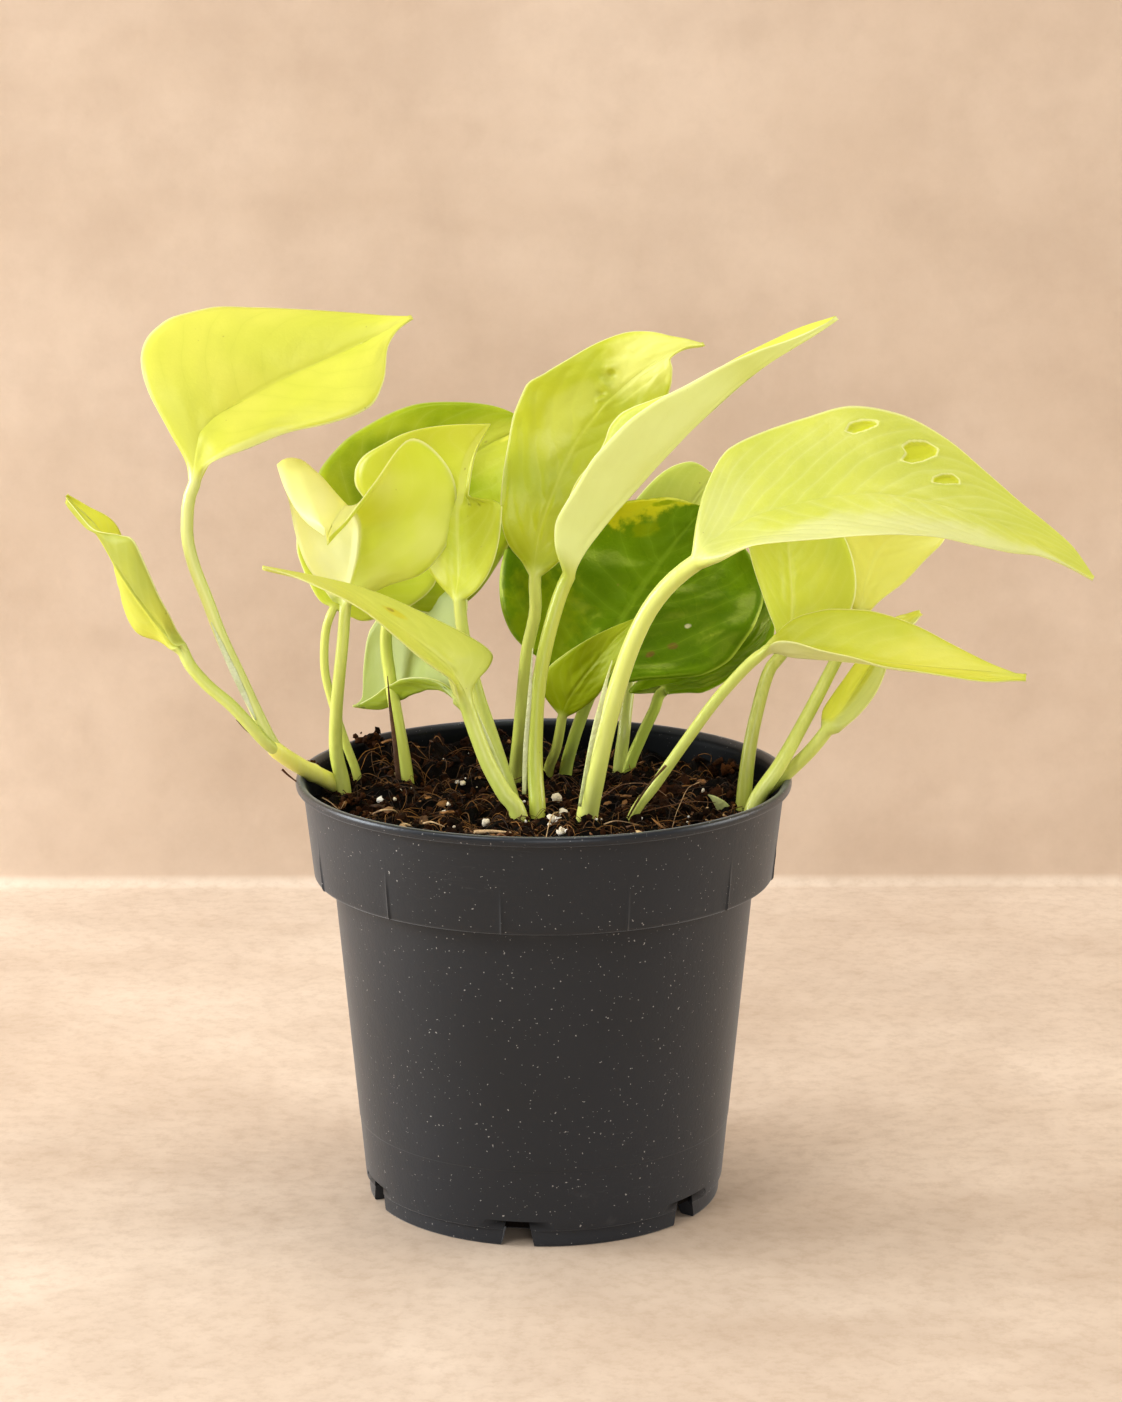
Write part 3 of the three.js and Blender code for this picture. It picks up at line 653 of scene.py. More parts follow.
def leaf_path(leaf):
    """The middle line from the buried foot to the tip, and where on it the blade begins."""
    foot, after = np.array(leaf["stalk"][:2], float)
    down = (foot - after) * (ROOT_SPREAD, ROOT_SPREAD, 1)
    buried = foot + unit(down) * leaf.get("depth", ROOT_DEPTH)
    path = Path([buried, *leaf["stalk"], *leaf["rib"]])
    return path, len(leaf["stalk"]) + 1


def edge_distance(x, y, corners):
    """Distance in mm to a closed outline on the blade, negative inside it."""
    corners = np.asarray(corners, float)
    nearest = np.full(np.broadcast(x, y).shape, np.inf)
    inside = np.zeros_like(nearest, bool)
    for (ax, ay), (bx, by) in zip(corners, np.roll(corners, -1, axis=0)):
        dx, dy = bx - ax, by - ay
        t = np.clip(((x - ax) * dx + (y - ay) * dy) / (dx * dx + dy * dy), 0, 1)
        nearest = np.minimum(nearest, np.hypot(x - ax - t * dx, y - ay - t * dy))
        if ay != by:
            inside ^= ((ay > y) != (by > y)) & (x < ax + (y - ay) * dx / dy)
    return np.where(inside, -nearest, nearest)


def vein_phase(u, v, veins):
    """Counts side veins along a half blade; they lean towards the tip as they run out."""
    share = np.abs(v)
    straight = veins * (u - VEIN_LEAN[0] * share - VEIN_LEAN[1] * share**2) + 0.5 * (v > 0)
    sway = grain(u * 5, v * 2.2, 1.0, 61) + 0.5 * grain(u * 5, v * 2.2, 0.45, 62) - 0.75
    return straight + VEIN_SWAY * sway


def blade_widths(leaf, u, v):
    """How much of its reach the blade has at each point, before its least width."""
    width = np.repeat(outline(u, *leaf["shape"]), v.shape[1], axis=1)
    for half_blade, on in (("left_widths", v < 0), ("right_widths", v > 0)):
        if half_blade in leaf:
            width = np.where(on, through(u, leaf[half_blade]), width)
    if "torn" in leaf:
        start, kept = leaf["torn"]
        share = np.abs(v)
        ragged = 0.012 * np.sin(27 * share) + 0.01 * np.sin(31 * share)
        cut = 1 - (1 - kept) * smoothstep((u + ragged - start) / TEAR_LENGTH)
        width = np.where(v > 0, width * cut, width)
    return width


def blade_waves(waves, u, v):
    """Waves along the edges: height, number, shift and the half that has them, 0 for both."""
    wave = np.zeros_like(v)
    for size, turns, shift, which in waves:
        on = (v * which > 0) if which else np.ones_like(v, bool)
        wave = wave + on * size * np.abs(v) ** 2 * np.sin(2 * np.pi * (turns * u + shift))
    return wave


def blade_relief(look, u, v, width, length, body):
    """Height of the skin in mm, with the count of side veins and the distance to a window."""
    share = np.abs(v)
    x, y = u * length, v * look["half_width"]
    phase = vein_phase(u, v, look["veins"])
    puckers = 0.6 + 0.8 * grain(x, y, PUCKER_SIZE, 63)
    quilt = np.sqrt(np.abs(np.sin(np.pi * phase))) * puckers
    fade = smoothstep(share / 0.12) * smoothstep((1 - share) / 0.15)
    fade = fade * body * np.clip(width, 0, 1)
    dents = grain(x, y, DENT_SIZE, 64) - 0.5 + 0.4 * (grain(x, y, DENT_SIZE / 2, 65) - 0.5)
    relief = (look["quilt"] * (quilt - 0.6) + look["dents"] * dents) * fade
    relief = relief + blade_waves(look["waves"], u, v) * body * np.clip(width * 1.5, 0, 1)
    window = np.full_like(v, FAR_FROM_WINDOW)
    for corners in look.get("windows", ()):
        window = np.minimum(window, edge_distance(x, y, corners))
    relief = relief - WINDOW_DEPTH * smoothstep(-window / WINDOW_SLOPE)
    relief = relief + WINDOW_RIM * np.exp(-(((window - RIM_PLACE) / RIM_SPREAD) ** 2))
    for fu, fv, du, dv, rise in look.get("blisters", ()):
        far = np.sqrt(((u - fu) / du) ** 2 + ((v - fv) / dv) ** 2)
        relief = relief + rise * np.exp(-(far**2))
    return relief, phase, window


def blade_axes(leaf, path, neck, u):
    """Row by row: the middle line, its way, both reaches, sideways, up, and the length."""
    t, length = path.even(neck, path.last, u[:, 0])
    centre, along = path.at(t)[:, None], path.along(t)[:, None]
    arms = [Path(leaf[s]).at(u[:, 0] * (len(leaf[s]) - 1))[:, None] for s in ("left", "right")]
    across = arms[1] - arms[0]
    side = unit(across - (across * along).sum(-1, keepdims=True) * along)
    return centre, along, arms, side, np.cross(side, along), length


def folded_blade(arms, arm, width, v, turn_in):
    """Both half blades away from the middle line, with a rounded fold between them."""
    share = np.abs(v)
    blend = np.clip((v / turn_in + 1) / 2, 0, 1)[..., None]
    left_edge, right_edge = (a * (width * turn_in)[..., None] for a in arms)
    rounded_rib = (1 - blend) ** 2 * left_edge + blend**2 * right_edge
    flat_blade = arm * (width * share)[..., None]
    return np.where(share[..., None] < turn_in, rounded_rib, flat_blade)


def blade_skins(look, thin, u, v, out_mm, opened):
    """How far the upper and the lower skin stand off the middle of the blade."""
    midrib = thin * (1 - np.sqrt(u)) + RIB_THICKNESS * np.sqrt(u)
    ridge = np.clip(1 - (out_mm / (RIB_SPREAD * midrib)) ** 2, 0, None)
    rounded = thin * np.sqrt(np.clip(1 - v**2, 0, None))
    half = EDGE_THICKNESS + BLADE_THICKNESS * smoothstep((1 - np.abs(v)) / BEVEL)
    groove = look["groove"] * np.exp(-((out_mm / GROOVE_SPREAD) ** 2)) * smoothstep(u / 0.3)
    over = rounded * (1 - opened) + (half - groove) * opened
    under = rounded * (1 - opened) + (half + midrib * ridge) * opened
    return over, under


def blade_rings(leaf, look, path, neck, circle):
    """Rings round the blade, upper side first; also u, v, vein count, window and first side."""
    half_columns = HALF_COLUMNS * look.get("density", 1)
    even = np.arange(-half_columns, half_columns + 1) / half_columns
    flat = even * (1 - COLUMN_CROWDING + COLUMN_CROWDING * np.abs(even))
    thin = leaf["radius"][1]
    rows = np.linspace(0, 1, BLADE_ROWS * look.get("density", 1) + 1)
    u = np.where(rows < 0.5, 0.5 * (2 * rows) ** ROW_CROWDING, rows)[:, None]
    centre, along, arms, side, up, length = blade_axes(leaf, path, neck, u)

    opened = smoothstep(u / BASE_BLEND)
    closing = smoothstep((u - 1 + BASE_BLEND) / BASE_BLEND)
    body = opened * (1 - closing)
    core = thin * (1 - u) ** 3 + TIP_CORE * closing
    v = circle * (1 - opened) + flat * opened
    share = np.abs(v)
    left = (v < 0)[..., None]
    arm = np.where(left, arms[0], arms[1])
    normal = unit(np.where(left, np.cross(along, arm), np.cross(arm, along)))
    arm_length = np.linalg.norm(arm, axis=-1)
    least = opened * LEAST_REACH / np.maximum(arm_length, 1e-6)
    width = np.maximum(blade_widths(leaf, u, v), least)
    relief, phase, window = blade_relief(look, u, v, width, length, body)

    point = centre + folded_blade(arms, arm, width, v, look["fold"]) + side * (core * v)[..., None]
    bow = np.where(v < 0, *leaf.get("bow", (0, 0)))
    hump = np.exp(-(((u - CREST_PLACE) / CREST_SPREAD) ** 2))
    crest = np.where(v < 0, *leaf.get("crest", (0, 0))) * hump
    point = point + up * ((bow * width + crest) * 4 * share * (1 - share))[..., None]
    swing = body * smoothstep(share * 3)
    face = unit(up * (1 - swing[..., None]) + normal * swing[..., None])
    point = point + face * relief[..., None]
    out_mm = share * (arm_length * width + core)
    over, under = blade_skins(look, thin, u, v, out_mm, opened)
    above = point + face * over[..., None]
    below = (point - face * under[..., None])[:, ::-1]
    return np.concatenate([above, below], axis=1), u, v, phase, window, side[0, 0]


def stalk_rings(leaf, path, neck, circle, side):
    thick, thin = leaf["radius"]
    shares = np.linspace(0, 1, STALK_ROWS + 1)[:-1]
    t, _ = path.even(0, neck, shares)
    frames = []
    for parameter in t[::-1]:
        way = path.along(parameter)
        side = unit(side - side.dot(way) * way)
        frames.insert(0, (path.at(parameter), side, np.cross(side, way)))
    rise = np.sqrt(1 - circle**2)
    rings = []
    for (c, a, b), share in zip(frames, shares):
        r = thin + (thick - thin) * (1 - share) ** 2
        top = c + a * (circle * r)[:, None] + b * (rise * r)[:, None]
        low = c + a * (circle * r)[:, None] - b * (rise * r)[:, None]
        rings.append(np.concatenate([top, low[::-1]]))
    return np.array(rings), shares


def leaf_mesh(name, leaf, look):
    """One skin of rings from the foot of the stalk to the tip of the blade."""
    path, neck = leaf_path(leaf)
    count = 2 * HALF_COLUMNS * look.get("density", 1) + 1
    circle = -np.cos(np.pi * (np.arange(count) + 0.5) / count)
    blade, u, v, phase, window, side = blade_rings(leaf, look, path, neck, circle)
    stalk, shares = stalk_rings(leaf, path, neck, circle, side)
    rings = np.concatenate([stalk, blade])

    n_rings, n = rings.shape[:2]
    faces = ring_faces(n_rings - 1, n)
    end = (n_rings - 1) * n
    for i in range(count - 1):
        low = n - 1 - i
        faces.append([i, low, low - 1, i + 1])
        faces.append([end + i, end + i + 1, end + low - 1, end + low])
    made = mesh_object(name, rings.reshape(-1, 3) * MM, faces)

    def on_rings(values):
        """Values of the blade for both its sides, with the first ring's along the stalk."""
        both = np.concatenate([values, values[:, ::-1]], axis=1)
        return np.concatenate([np.repeat(both[:1], len(stalk), axis=0), both])

    u_all = np.concatenate([np.repeat((shares - 1)[:, None], n, 1), np.repeat(u, n, 1)])
    low_side = np.tile(np.r_[np.zeros(count), np.ones(count)], (n_rings, 1))
    point_value(made, "leaf", np.stack([u_all, on_rings(v), low_side], -1), "FLOAT_VECTOR")
    point_value(made, "window", on_rings(window))
    point_value(made, "vein", on_rings(phase))
    return made


def patched(shade, colour, look, u, v):
    """Ragged patches: middle and size along and across the blade, colour and strength."""
    tattered = look.get("tattered", 1.5)
    for pu, pv, du, dv, code, strength in look.get("patches", ()):
        a = shade.math("DIVIDE", shade.math("SUBTRACT", u, pu), du)
        b = shade.math("DIVIDE", shade.math("SUBTRACT", v, pv), dv)
        far = shade.math("ADD", shade.math("MULTIPLY", a, a), shade.math("MULTIPLY", b, b))
        torn = shade.math("MULTIPLY", shade.noise(look.get("ragged", 120), 4), tattered)
        edge = shade.math("ADD", far, torn)
        outer, inner = 1.25 + tattered / 2, 0.25 + tattered / 2
        colour = shade.tint(colour, code, edge, outer, inner, strength)
    return colour


def vein_lines(shade, share, cells, strength):
    """Side veins with a soft glow around them, and a fine net between them."""
    saw = shade.math("PINGPONG", shade.point("vein"), 0.5)
    line = shade.step(saw, 0.05, 0.01)
    glow = shade.step(saw, 0.3, 0.0, 0.0, 0.5)
    inside = shade.step(share, 0.97, 0.8)
    vein = shade.math("MULTIPLY", shade.math("MAXIMUM", line, glow), inside)
    net = shade.step(cells, 0.07, 0.0, 0.0, 0.25)
    return shade.math("MULTIPLY", shade.math("MAXIMUM", vein, net), strength)


def stalk_colour(shade, share, stalk, pale):
    """Fine streaks along a stalk, with painted shade that darkens it towards its sides."""
    streak = shade.noise(900, 2, where=shade.place((1, 1, 0.06)))
    colour = shade.mix(shade.step(streak, 0.3, 0.75, 0.0, 0.2), stalk, pale)
    # Painted shade: the stalk's colour darkens towards its sides
    dark = shade.mix(0.6, stalk, srgb(STALK_SIDE_SHADE_COLOUR))
    return shade.mix(shade.step(share, 0.5, 0.95, 0.0, 0.4), colour, dark)


def leaf_material(name, look):
    shade = Shade(name)
    grid = shade.node("SeparateXYZ", Vector=shade.point("leaf", "Vector"))
    u, v, under = grid.node.outputs
    share = shade.math("ABSOLUTE", v)
    on_blade = shade.step(u, 0.0, 0.06)

    broad = shade.noise(look.get("patch_scale", 45), 2.5)
    mottle = shade.step(broad, 0.35, 0.68)
    main, second, pale, low_side, stalk = (srgb(look[k]) for k in COLOUR_KEYS)
    colour = patched(shade, shade.mix(mottle, main, second), look, u, v)
    to_edge = {"feature": "DISTANCE_TO_EDGE"}
    cells = shade.node("TexVoronoi", "Distance", to_edge, Vector=shade.place(), Scale=420.0)
    veins = vein_lines(shade, share, cells, look["vein"])
    colour = shade.mix(veins, colour, pale)
    colour = shade.tint(colour, look["pale"], share, 0.04, 0.01, look["rib"])

    if "under_left" in look:
        low_side = shade.tint(low_side, look["under_left"], v, 0.0, -0.06)
    back = shade.mix(shade.math("MULTIPLY", veins, 0.7), low_side, pale)
    back = shade.mix(shade.math("MULTIPLY", mottle, 0.35), back, main)
    colour = shade.mix(shade.math("GREATER_THAN", under, 0.5), colour, back)
    rim = shade.step(share, 0.97, 0.995, 0.0, look["rim"])
    colour = shade.mix(shade.math("MULTIPLY", rim, on_blade), colour, srgb(look["rim_colour"]))
    if "windows" in look:
        gap = shade.point("window")
        colour = shade.tint(colour, WINDOW_EDGE_COLOUR, gap, 0.35, 0.15)
        # Inside the thin places the colour is deeper and darker: partly their own tone, partly painted shade
        # in the hollow
        colour = shade.tint(colour, WINDOW_TONE_AND_SHADE_COLOUR, gap, 0.02, -0.3)

    colour = shade.mix(on_blade, stalk_colour(shade, share, stalk, pale), colour)
    colour = shade.tint(colour, SPECK_COLOUR, shade.noise(520, 1), 0.79, 0.815, 0.45)

    bump = shade.bump(shade.noise(1500, 2), 0.12, 0.0004)
    bump = shade.bump(shade.math("MULTIPLY", cells, on_blade), 0.1, 0.0005, Normal=bump)
    rough = shade.step(broad, 0.2, 0.8, look["rough"] - 0.06, look["rough"] + 0.08)
    rough = shade.mix(under, rough, (0.5, 0.5, 0.5, 1))
    rough = shade.mix(on_blade, (0.3, 0.3, 0.3, 1), rough)
    skin = shade.node(
        "BsdfPrincipled",
        Base_Color=colour,
        Roughness=rough,
        Normal=bump,
        Specular_IOR_Level=0.45,
        Specular_Tint=look["shine"],
    )
    glow = shade.mix(0.6, colour, srgb(look["through"]))
    glowing = shade.node("BsdfTranslucent", Color=glow)
    clear = shade.math("MULTIPLY", on_blade, look["clear"])
    return shade.finish(shade.blend(clear, skin, glowing))


# Corners of the thin places in leaf 11: mm along its midrib, then across from it
WINDOWS = (
    (
        (41.2, -18), (42.4, -19.7), (44.9, -20.5), (48.1, -20.7), (47.6, -19.5), (45.4, -18.1),
        (42.8, -17.2),
    ),
    (
        (51.4, -11.5), (52.8, -13.9), (52, -15.4), (53.7, -17.4), (57, -19.1), (59.4, -18.8),
        (58.8, -16.4), (56, -13.2), (53.6, -11.4),
    ),
    (
        (57.6, -7.2), (58, -9.1), (59.9, -11.4), (62.1, -12.9), (63.5, -12.2), (63.5, -10.6),
        (60.3, -8.2),
    ),
)
LIME = dict(
    main="e6e84e", second="d9e040", pale="f0f294", under="e8ea92", stalk="c6ce62", rim_colour="f6f7b4",
    through="eff268", vein=0.14, veins=9, rough=0.38, quilt=0.12, dents=0.5, groove=0.12, fold=0.3, rib=0.25,
    rim=0.8, shine=(1, 1, 1, 1), half_width=25.0, clear=0.4, waves=((0.7, 1.6, 0.3, 0),),
)


def looks(**changes):
    return {**LIME, **changes}


LOOKS = {
    "leaf_01": looks(
        main="e4e360", second="d8db50", pale="ccd048", under="e6e984", stalk="dade88", vein=0.35, rib=0.3,
        fold=0.8, patches=((0.2, 1.0, 0.3, 0.25, "f0f19a", 0.7), (0.1, 0, 0.16, 1.2, "c8cc3c", 0.4)),
        waves=((1.0, 1.6, 0.1, -1), (0.8, 1.3, 0.5, 1)),
    ),
    "leaf_02": looks(
        main="ecea4a", second="e2e44a", under="dde05a", under_left="a8b24c", pale="d5dc9c", through="d9dc60",
        rib=0.8,
    ),
    "leaf_03": looks(
        # The left half's darker, more saturated underside colour is painted shade where that half turns from
        # the light
        main="fffdb8", second="fdfb9c", under="f6f8c4", under_left="d6e238", through="fcfca4", clear=0.4,
        waves=((0.8, 1.5, 0.3, -1),),
    ),
    "leaf_04": looks(main="dde650", second="ccda40", pale="eef08e", under="dfe86c"),
    "leaf_05": looks(main="dae04a", second="c8d23a", patches=((0.45, 0.55, 0.25, 0.45, "b8be0e", 0.7),)),
    "leaf_06": looks(
        main="d6d86c", second="c9d060", under="e6e890",
        patches=((0.48, 0.4, 0.05, 0.12, "cfc22c", 0.8), (0.5, 0.42, 0.015, 0.05, "8a5a24", 0.7)),
    ),
    "leaf_07": looks(main="a2b234", second="90a42c", under="bccb80", pale="d4dea0"),
    "leaf_08": looks(
        main="91a80a", second="b2c01c", pale="c6ce50", under="b0ba4c", rim_colour="c0ca62", through="a8b810",
        shine=(1, 1, 0.4, 1), quilt=0.35, clear=0.25, vein=0.3, patch_scale=60, waves=((1.2, 2.0, 0.6, 0),),
        patches=(
            (0.82, 0.1, 0.2, 0.7, "c9cb44", 0.7), (0.88, 0.15, 0.05, 0.14, "e8e458", 0.8),
            (0.5, -0.55, 0.2, 0.3, "7c9410", 0.7),
        ),
    ),
    "leaf_09": looks(
        main="c6cc2e", second="b2be22", pale="dce066", quilt=0.2, dents=0.8, density=2,
        waves=((1.4, 1.8, 0.2, -1), (1.0, 1.5, 0.7, 1)),
        patches=(
            (0.9, 0.1, 0.26, 1.2, "eef08a", 0.9), (0.5, -0.35, 0.16, 0.3, "d9de70", 0.5),
            (0.69, -0.38, 0.016, 0.08, "b2b82e", 0.8), (0.62, -0.22, 0.014, 0.05, "b6bc34", 0.7),
        ),
        blisters=(
            (0.7, -0.46, 0.02, 0.11, 0.7), (0.685, -0.36, 0.014, 0.08, -0.8), (0.65, -0.28, 0.012, 0.14, 0.6),
            (0.62, -0.22, 0.012, 0.06, -0.6), (0.6, -0.14, 0.014, 0.05, 0.5), (0.6, 0.02, 0.03, 0.05, 0.4),
        ),
    ),
    "leaf_10": looks(
        main="dade52", second="ced64a", under="f7ffa6", stalk="b9c048", through="e6f084", dents=0.2,
        clear=0.2,
    ),
    "leaf_11": looks(
        main="d6da62", second="cbd258", pale="e8eca4", vein=0.3, under="eceea0", quilt=0.16, veins=15,
        fold=0.6, rib=0.05, stalk="dce272", density=3, half_width=24,
        patches=((0.5, 1, 0.6, 0.75, "e2e4b0", 0.75), (0, 0, 0.2, 1.5, "ccd27c", 0.7)), windows=WINDOWS,
        waves=((1.5, 1.7, 0.35, -1), (0.8, 2.0, 0.1, 1)),
    ),
    "leaf_12": looks(
        main="668a0c", second="486c06", pale="98b830", under="9fb660", stalk="aebd58", rim_colour="a9c23e",
        through="7fb010", vein=0.22, rough=0.27, shine=(1, 1, 0.1, 1), quilt=0.35, dents=2.2, veins=9,
        groove=0.2, rib=0.25, clear=0.15, patch_scale=38, ragged=380, tattered=3.2,
        waves=((1.5, 2.4, 0.2, 0),),
        patches=(
            (0.82, -0.8, 0.17, 0.3, "c8c61e", 1), (0.96, -0.95, 0.05, 0.2, "cacf48", 0.9),
            (0.9, -0.78, 0.04, 0.09, "8c9c04", 1), (0.76, -0.42, 0.05, 0.12, "7c9006", 1),
            (0.2, -0.6, 0.25, 0.4, "8a9c10", 0.6), (0.4, 0.5, 0.3, 0.5, "35560a", 0.4),
            (0.28, 0.5, 0.02, 0.05, "6e4428", 0.8), (0.22, 0.41, 0.02, 0.04, "6e4428", 0.8),
            (0.38, 0.51, 0.012, 0.03, "d8cfa8", 0.8),
        ),
    ),
    "leaf_13": looks(
        main="84a60c", second="5f8408", pale="a6bc36", under="9fb660", shine=(1, 1, 0.1, 1), stalk="a8b852",
        rim_colour="9ab93c", through="7fb010", vein=0.2, rough=0.3, quilt=0.3, dents=1.2, clear=0.12,
    ),
    "leaf_14": looks(main="d6e060", second="a8c048", under="cbd884", stalk="c3cc6c", clear=0.25),
    "leaf_15": looks(
        main="8b9c06", second="a2b01c", shine=(1, 1, 0.3, 1), pale="c8d05c", under="b8c05e", stalk="c0c75e",
        rim_colour="e0e584", clear=0.25,
    ),
    "leaf_16": looks(
        main="d4da40", second="cad336", under="f4f5c0",
        patches=((0.1, 0, 0.22, 1.2, "bcc424", 0.7), (0.8, 0, 0.4, 1, "ebe75c", 0.6)),
    ),
    "leaf_17": looks(main="dbe24e", second="cdd946", stalk="a9ae4a"),
    "leaf_18": looks(main="f6f680", second="f0f070"),
    "leaf_19": looks(
        main="eef05c", second="e2e84e", under="dfe6a0",
        # The darker patch along the rib is painted shade of the fold; the paler patch covers the right half
        patches=((0.35, 0.8, 0.7, 0.75, "cbd286", 0.9), (0.5, 0.1, 0.35, 0.22, "b6ba2a", 0.8)),
    ),
}


def make_leaves():
    slots = {s["node"]: s["material_slot"] for s in frame["record"]["subparts"]}
    for name, leaf in LEAVES.items():
        look = LOOKS[name]
        made = leaf_mesh(name + "_grown", leaf, look)
        keep(made, leaf_material(name + "_tissue", look), slots[name], name)


# The side stem
STEM_POINTS = [
    [-47.5, 9.5, 88], [-49.6, 9, 98.6], [-51.4, 7, 100.6], [-54.3, 3, 103.3], [-58.6, -4, 107.6],
    [-63, -9.5, 112.2], [-66, -12, 115.7],
]
STEM_RADII = (2.2, 1.95)
STEM_ROWS = 40
STEM_SIDES = 28
KNOT_PLACE, KNOT_SPREAD, KNOT_HEIGHT = 0.55, 0.03, 0.25
STEM_END = (0.95, 0.85, 0.7, 0.45)
FIRST_SIDE = (1.0, 0.3, 0.1)


def tube_mesh(name, path, radii, sides):
    rows = len(radii) - 1
    t, _ = path.even(0, path.last, np.linspace(0, 1, rows + 1))
    turn = np.arange(sides) * 2 * np.pi / sides
    side = np.array(FIRST_SIDE)
    rings = []
    for parameter, r in zip(t, radii):
        way = path.along(parameter)
        side = unit(side - side.dot(way) * way)
        other = np.cross(way, side)
        ring = np.cos(turn)[:, None] * side + np.sin(turn)[:, None] * other
        rings.append(path.at(parameter) + r * ring)
    points = np.concatenate([*rings, [path.at(t[0])], [path.at(t[-1])]])
    faces = ring_faces(rows, sides) + cap_faces(rows, sides, len(points) - 2)
    return mesh_object(name, points * MM, faces)


def make_stem():
    share = np.linspace(0, 1, STEM_ROWS + 1)
    radii = STEM_RADII[0] + (STEM_RADII[1] - STEM_RADII[0]) * share
    radii = radii + KNOT_HEIGHT * np.exp(-(((share - KNOT_PLACE) / KNOT_SPREAD) ** 2))
    radii[-len(STEM_END) :] *= STEM_END
    stem = tube_mesh("stem_left_grown", Path(STEM_POINTS), radii, STEM_SIDES)
    point_value(stem, "leaf", [[-0.5, 0, 0]] * len(stem.data.vertices), "FLOAT_VECTOR")
    look = looks(main="eae65a", second="dedc4e", stalk="f0ee70", pale="f4f4b0")
    keep(stem, leaf_material("stem_tissue", look), "stem", "stem_left")


# Pot
POT_HEIGHT = 104.6
LIP_RADIUS = 60.0
COLLAR_TOP_RADIUS = 58.1
COLLAR_FOOT_RADIUS = 55.65
COLLAR_FOOT_Z = 80.4
BODY_TOP_RADIUS = 51.05
BODY_FOOT_RADIUS = 44.0
FOOT_RADIUS = 43.2
FOOT_RING_INSIDE = 39.4
FOOT_HEIGHT = 4.0
SEAM_Z = 19.7
WALL = 1.3
PAD_RADIUS = 13.0
CHANNEL_DEPTH = 2.4
INNER_FLOOR_Z = 4.2
LIP_FOOT = POT_HEIGHT - 2.1
POT_COLUMNS = 240
LONGEST_STRETCH = 3.0
ARC_STEPS = 4
SHARP_ANGLE = math.radians(32)
RIB_COUNT = 12
RIB_FIRST_ANGLE = math.radians(-100)
RIB_HEIGHT = 0.3
RIB_HALF_WIDTH = 0.3
RIB_TOP_Z = 91.5
RIB_COLUMNS = (-3, -2, -1, 0, 1, 2, 3)
SLOT_COUNT = 6
SLOT_FIRST_ANGLE = math.radians(-98.5)
SLOT = dict(top_width=5.5, foot_width=8.5, top_z=6.4, foot_z=-1.0, radius=37.5)
STEP = dict(top_width=15.0, foot_width=19.0, top_z=6.6, foot_z=FOOT_HEIGHT - 0.2, radius=FOOT_RADIUS)
CUTTER_REACH = 50.0
# Plastic colours; the inside colour is painted shade on the pot's inner wall
PLASTIC = dict(
    main="131418", second="18191e", dust="8a8684", specks="c9c5c0", scratches="9a9694", inside="050606"
)

# Each corner of the pot's section: radius, height, rounding
POT_SECTION = (
    (0, 0, 0),
    (PAD_RADIUS, 0, 0.4),
    (PAD_RADIUS + 1, CHANNEL_DEPTH, 0.4),
    (FOOT_RING_INSIDE - 0.8, CHANNEL_DEPTH, 0.4),
    (FOOT_RING_INSIDE, 0, 0.4),
    (FOOT_RADIUS, 0, 0.7),
    (FOOT_RADIUS, FOOT_HEIGHT, 0.15),
    (BODY_FOOT_RADIUS, FOOT_HEIGHT + 0.3, 0.25),
    (BODY_FOOT_RADIUS + 1.38, SEAM_Z - 0.25, 0.1),
    (BODY_FOOT_RADIUS + 1.5, SEAM_Z, 0.1),
    (BODY_TOP_RADIUS, COLLAR_FOOT_Z - 0.4, 0.35),
    (COLLAR_FOOT_RADIUS, COLLAR_FOOT_Z, 0.9),
    (COLLAR_TOP_RADIUS, LIP_FOOT - 0.4, 0.5),
    (LIP_RADIUS - 0.3, LIP_FOOT, 0.3),
    (LIP_RADIUS, POT_HEIGHT - 1, 0.5),
    (LIP_RADIUS - 0.4, POT_HEIGHT, 0.5),
    (LIP_RADIUS - 1.6, POT_HEIGHT, 0.5),
    (COLLAR_TOP_RADIUS - WALL, LIP_FOOT, 0.8),
    (COLLAR_FOOT_RADIUS - WALL, COLLAR_FOOT_Z + WALL, 0.8),
    (BODY_TOP_RADIUS - WALL, COLLAR_FOOT_Z + WALL - 0.4, 0.6),
    (BODY_FOOT_RADIUS - WALL, INNER_FLOOR_Z, 1.2),
    (0, INNER_FLOOR_Z, 0),
)


def section_curve(corners):
    """The section with rounded corners and no long stretches."""
    points = np.array([c[:2] for c in corners], float)
    out = [points[0]]
    for i in range(1, len(points) - 1):
        before, here, after = points[i - 1 : i + 2]
        room = 0.45 * min(np.linalg.norm(before - here), np.linalg.norm(after - here))
        size = min(corners[i][2], room)
        start = here + size * unit(before - here)
        end = here + size * unit(after - here)
        for t in np.linspace(0, 1, ARC_STEPS + 1):
            out.append((1 - t) ** 2 * start + 2 * t * (1 - t) * here + t * t * end)
    out.append(points[-1])
    fine = [out[0]]
    for a, b in zip(out, out[1:]):
        parts = max(1, math.ceil(np.linalg.norm(b - a) / LONGEST_STRETCH))
        fine += [a + (b - a) * j / parts for j in range(1, parts + 1)]
    return np.array(fine)


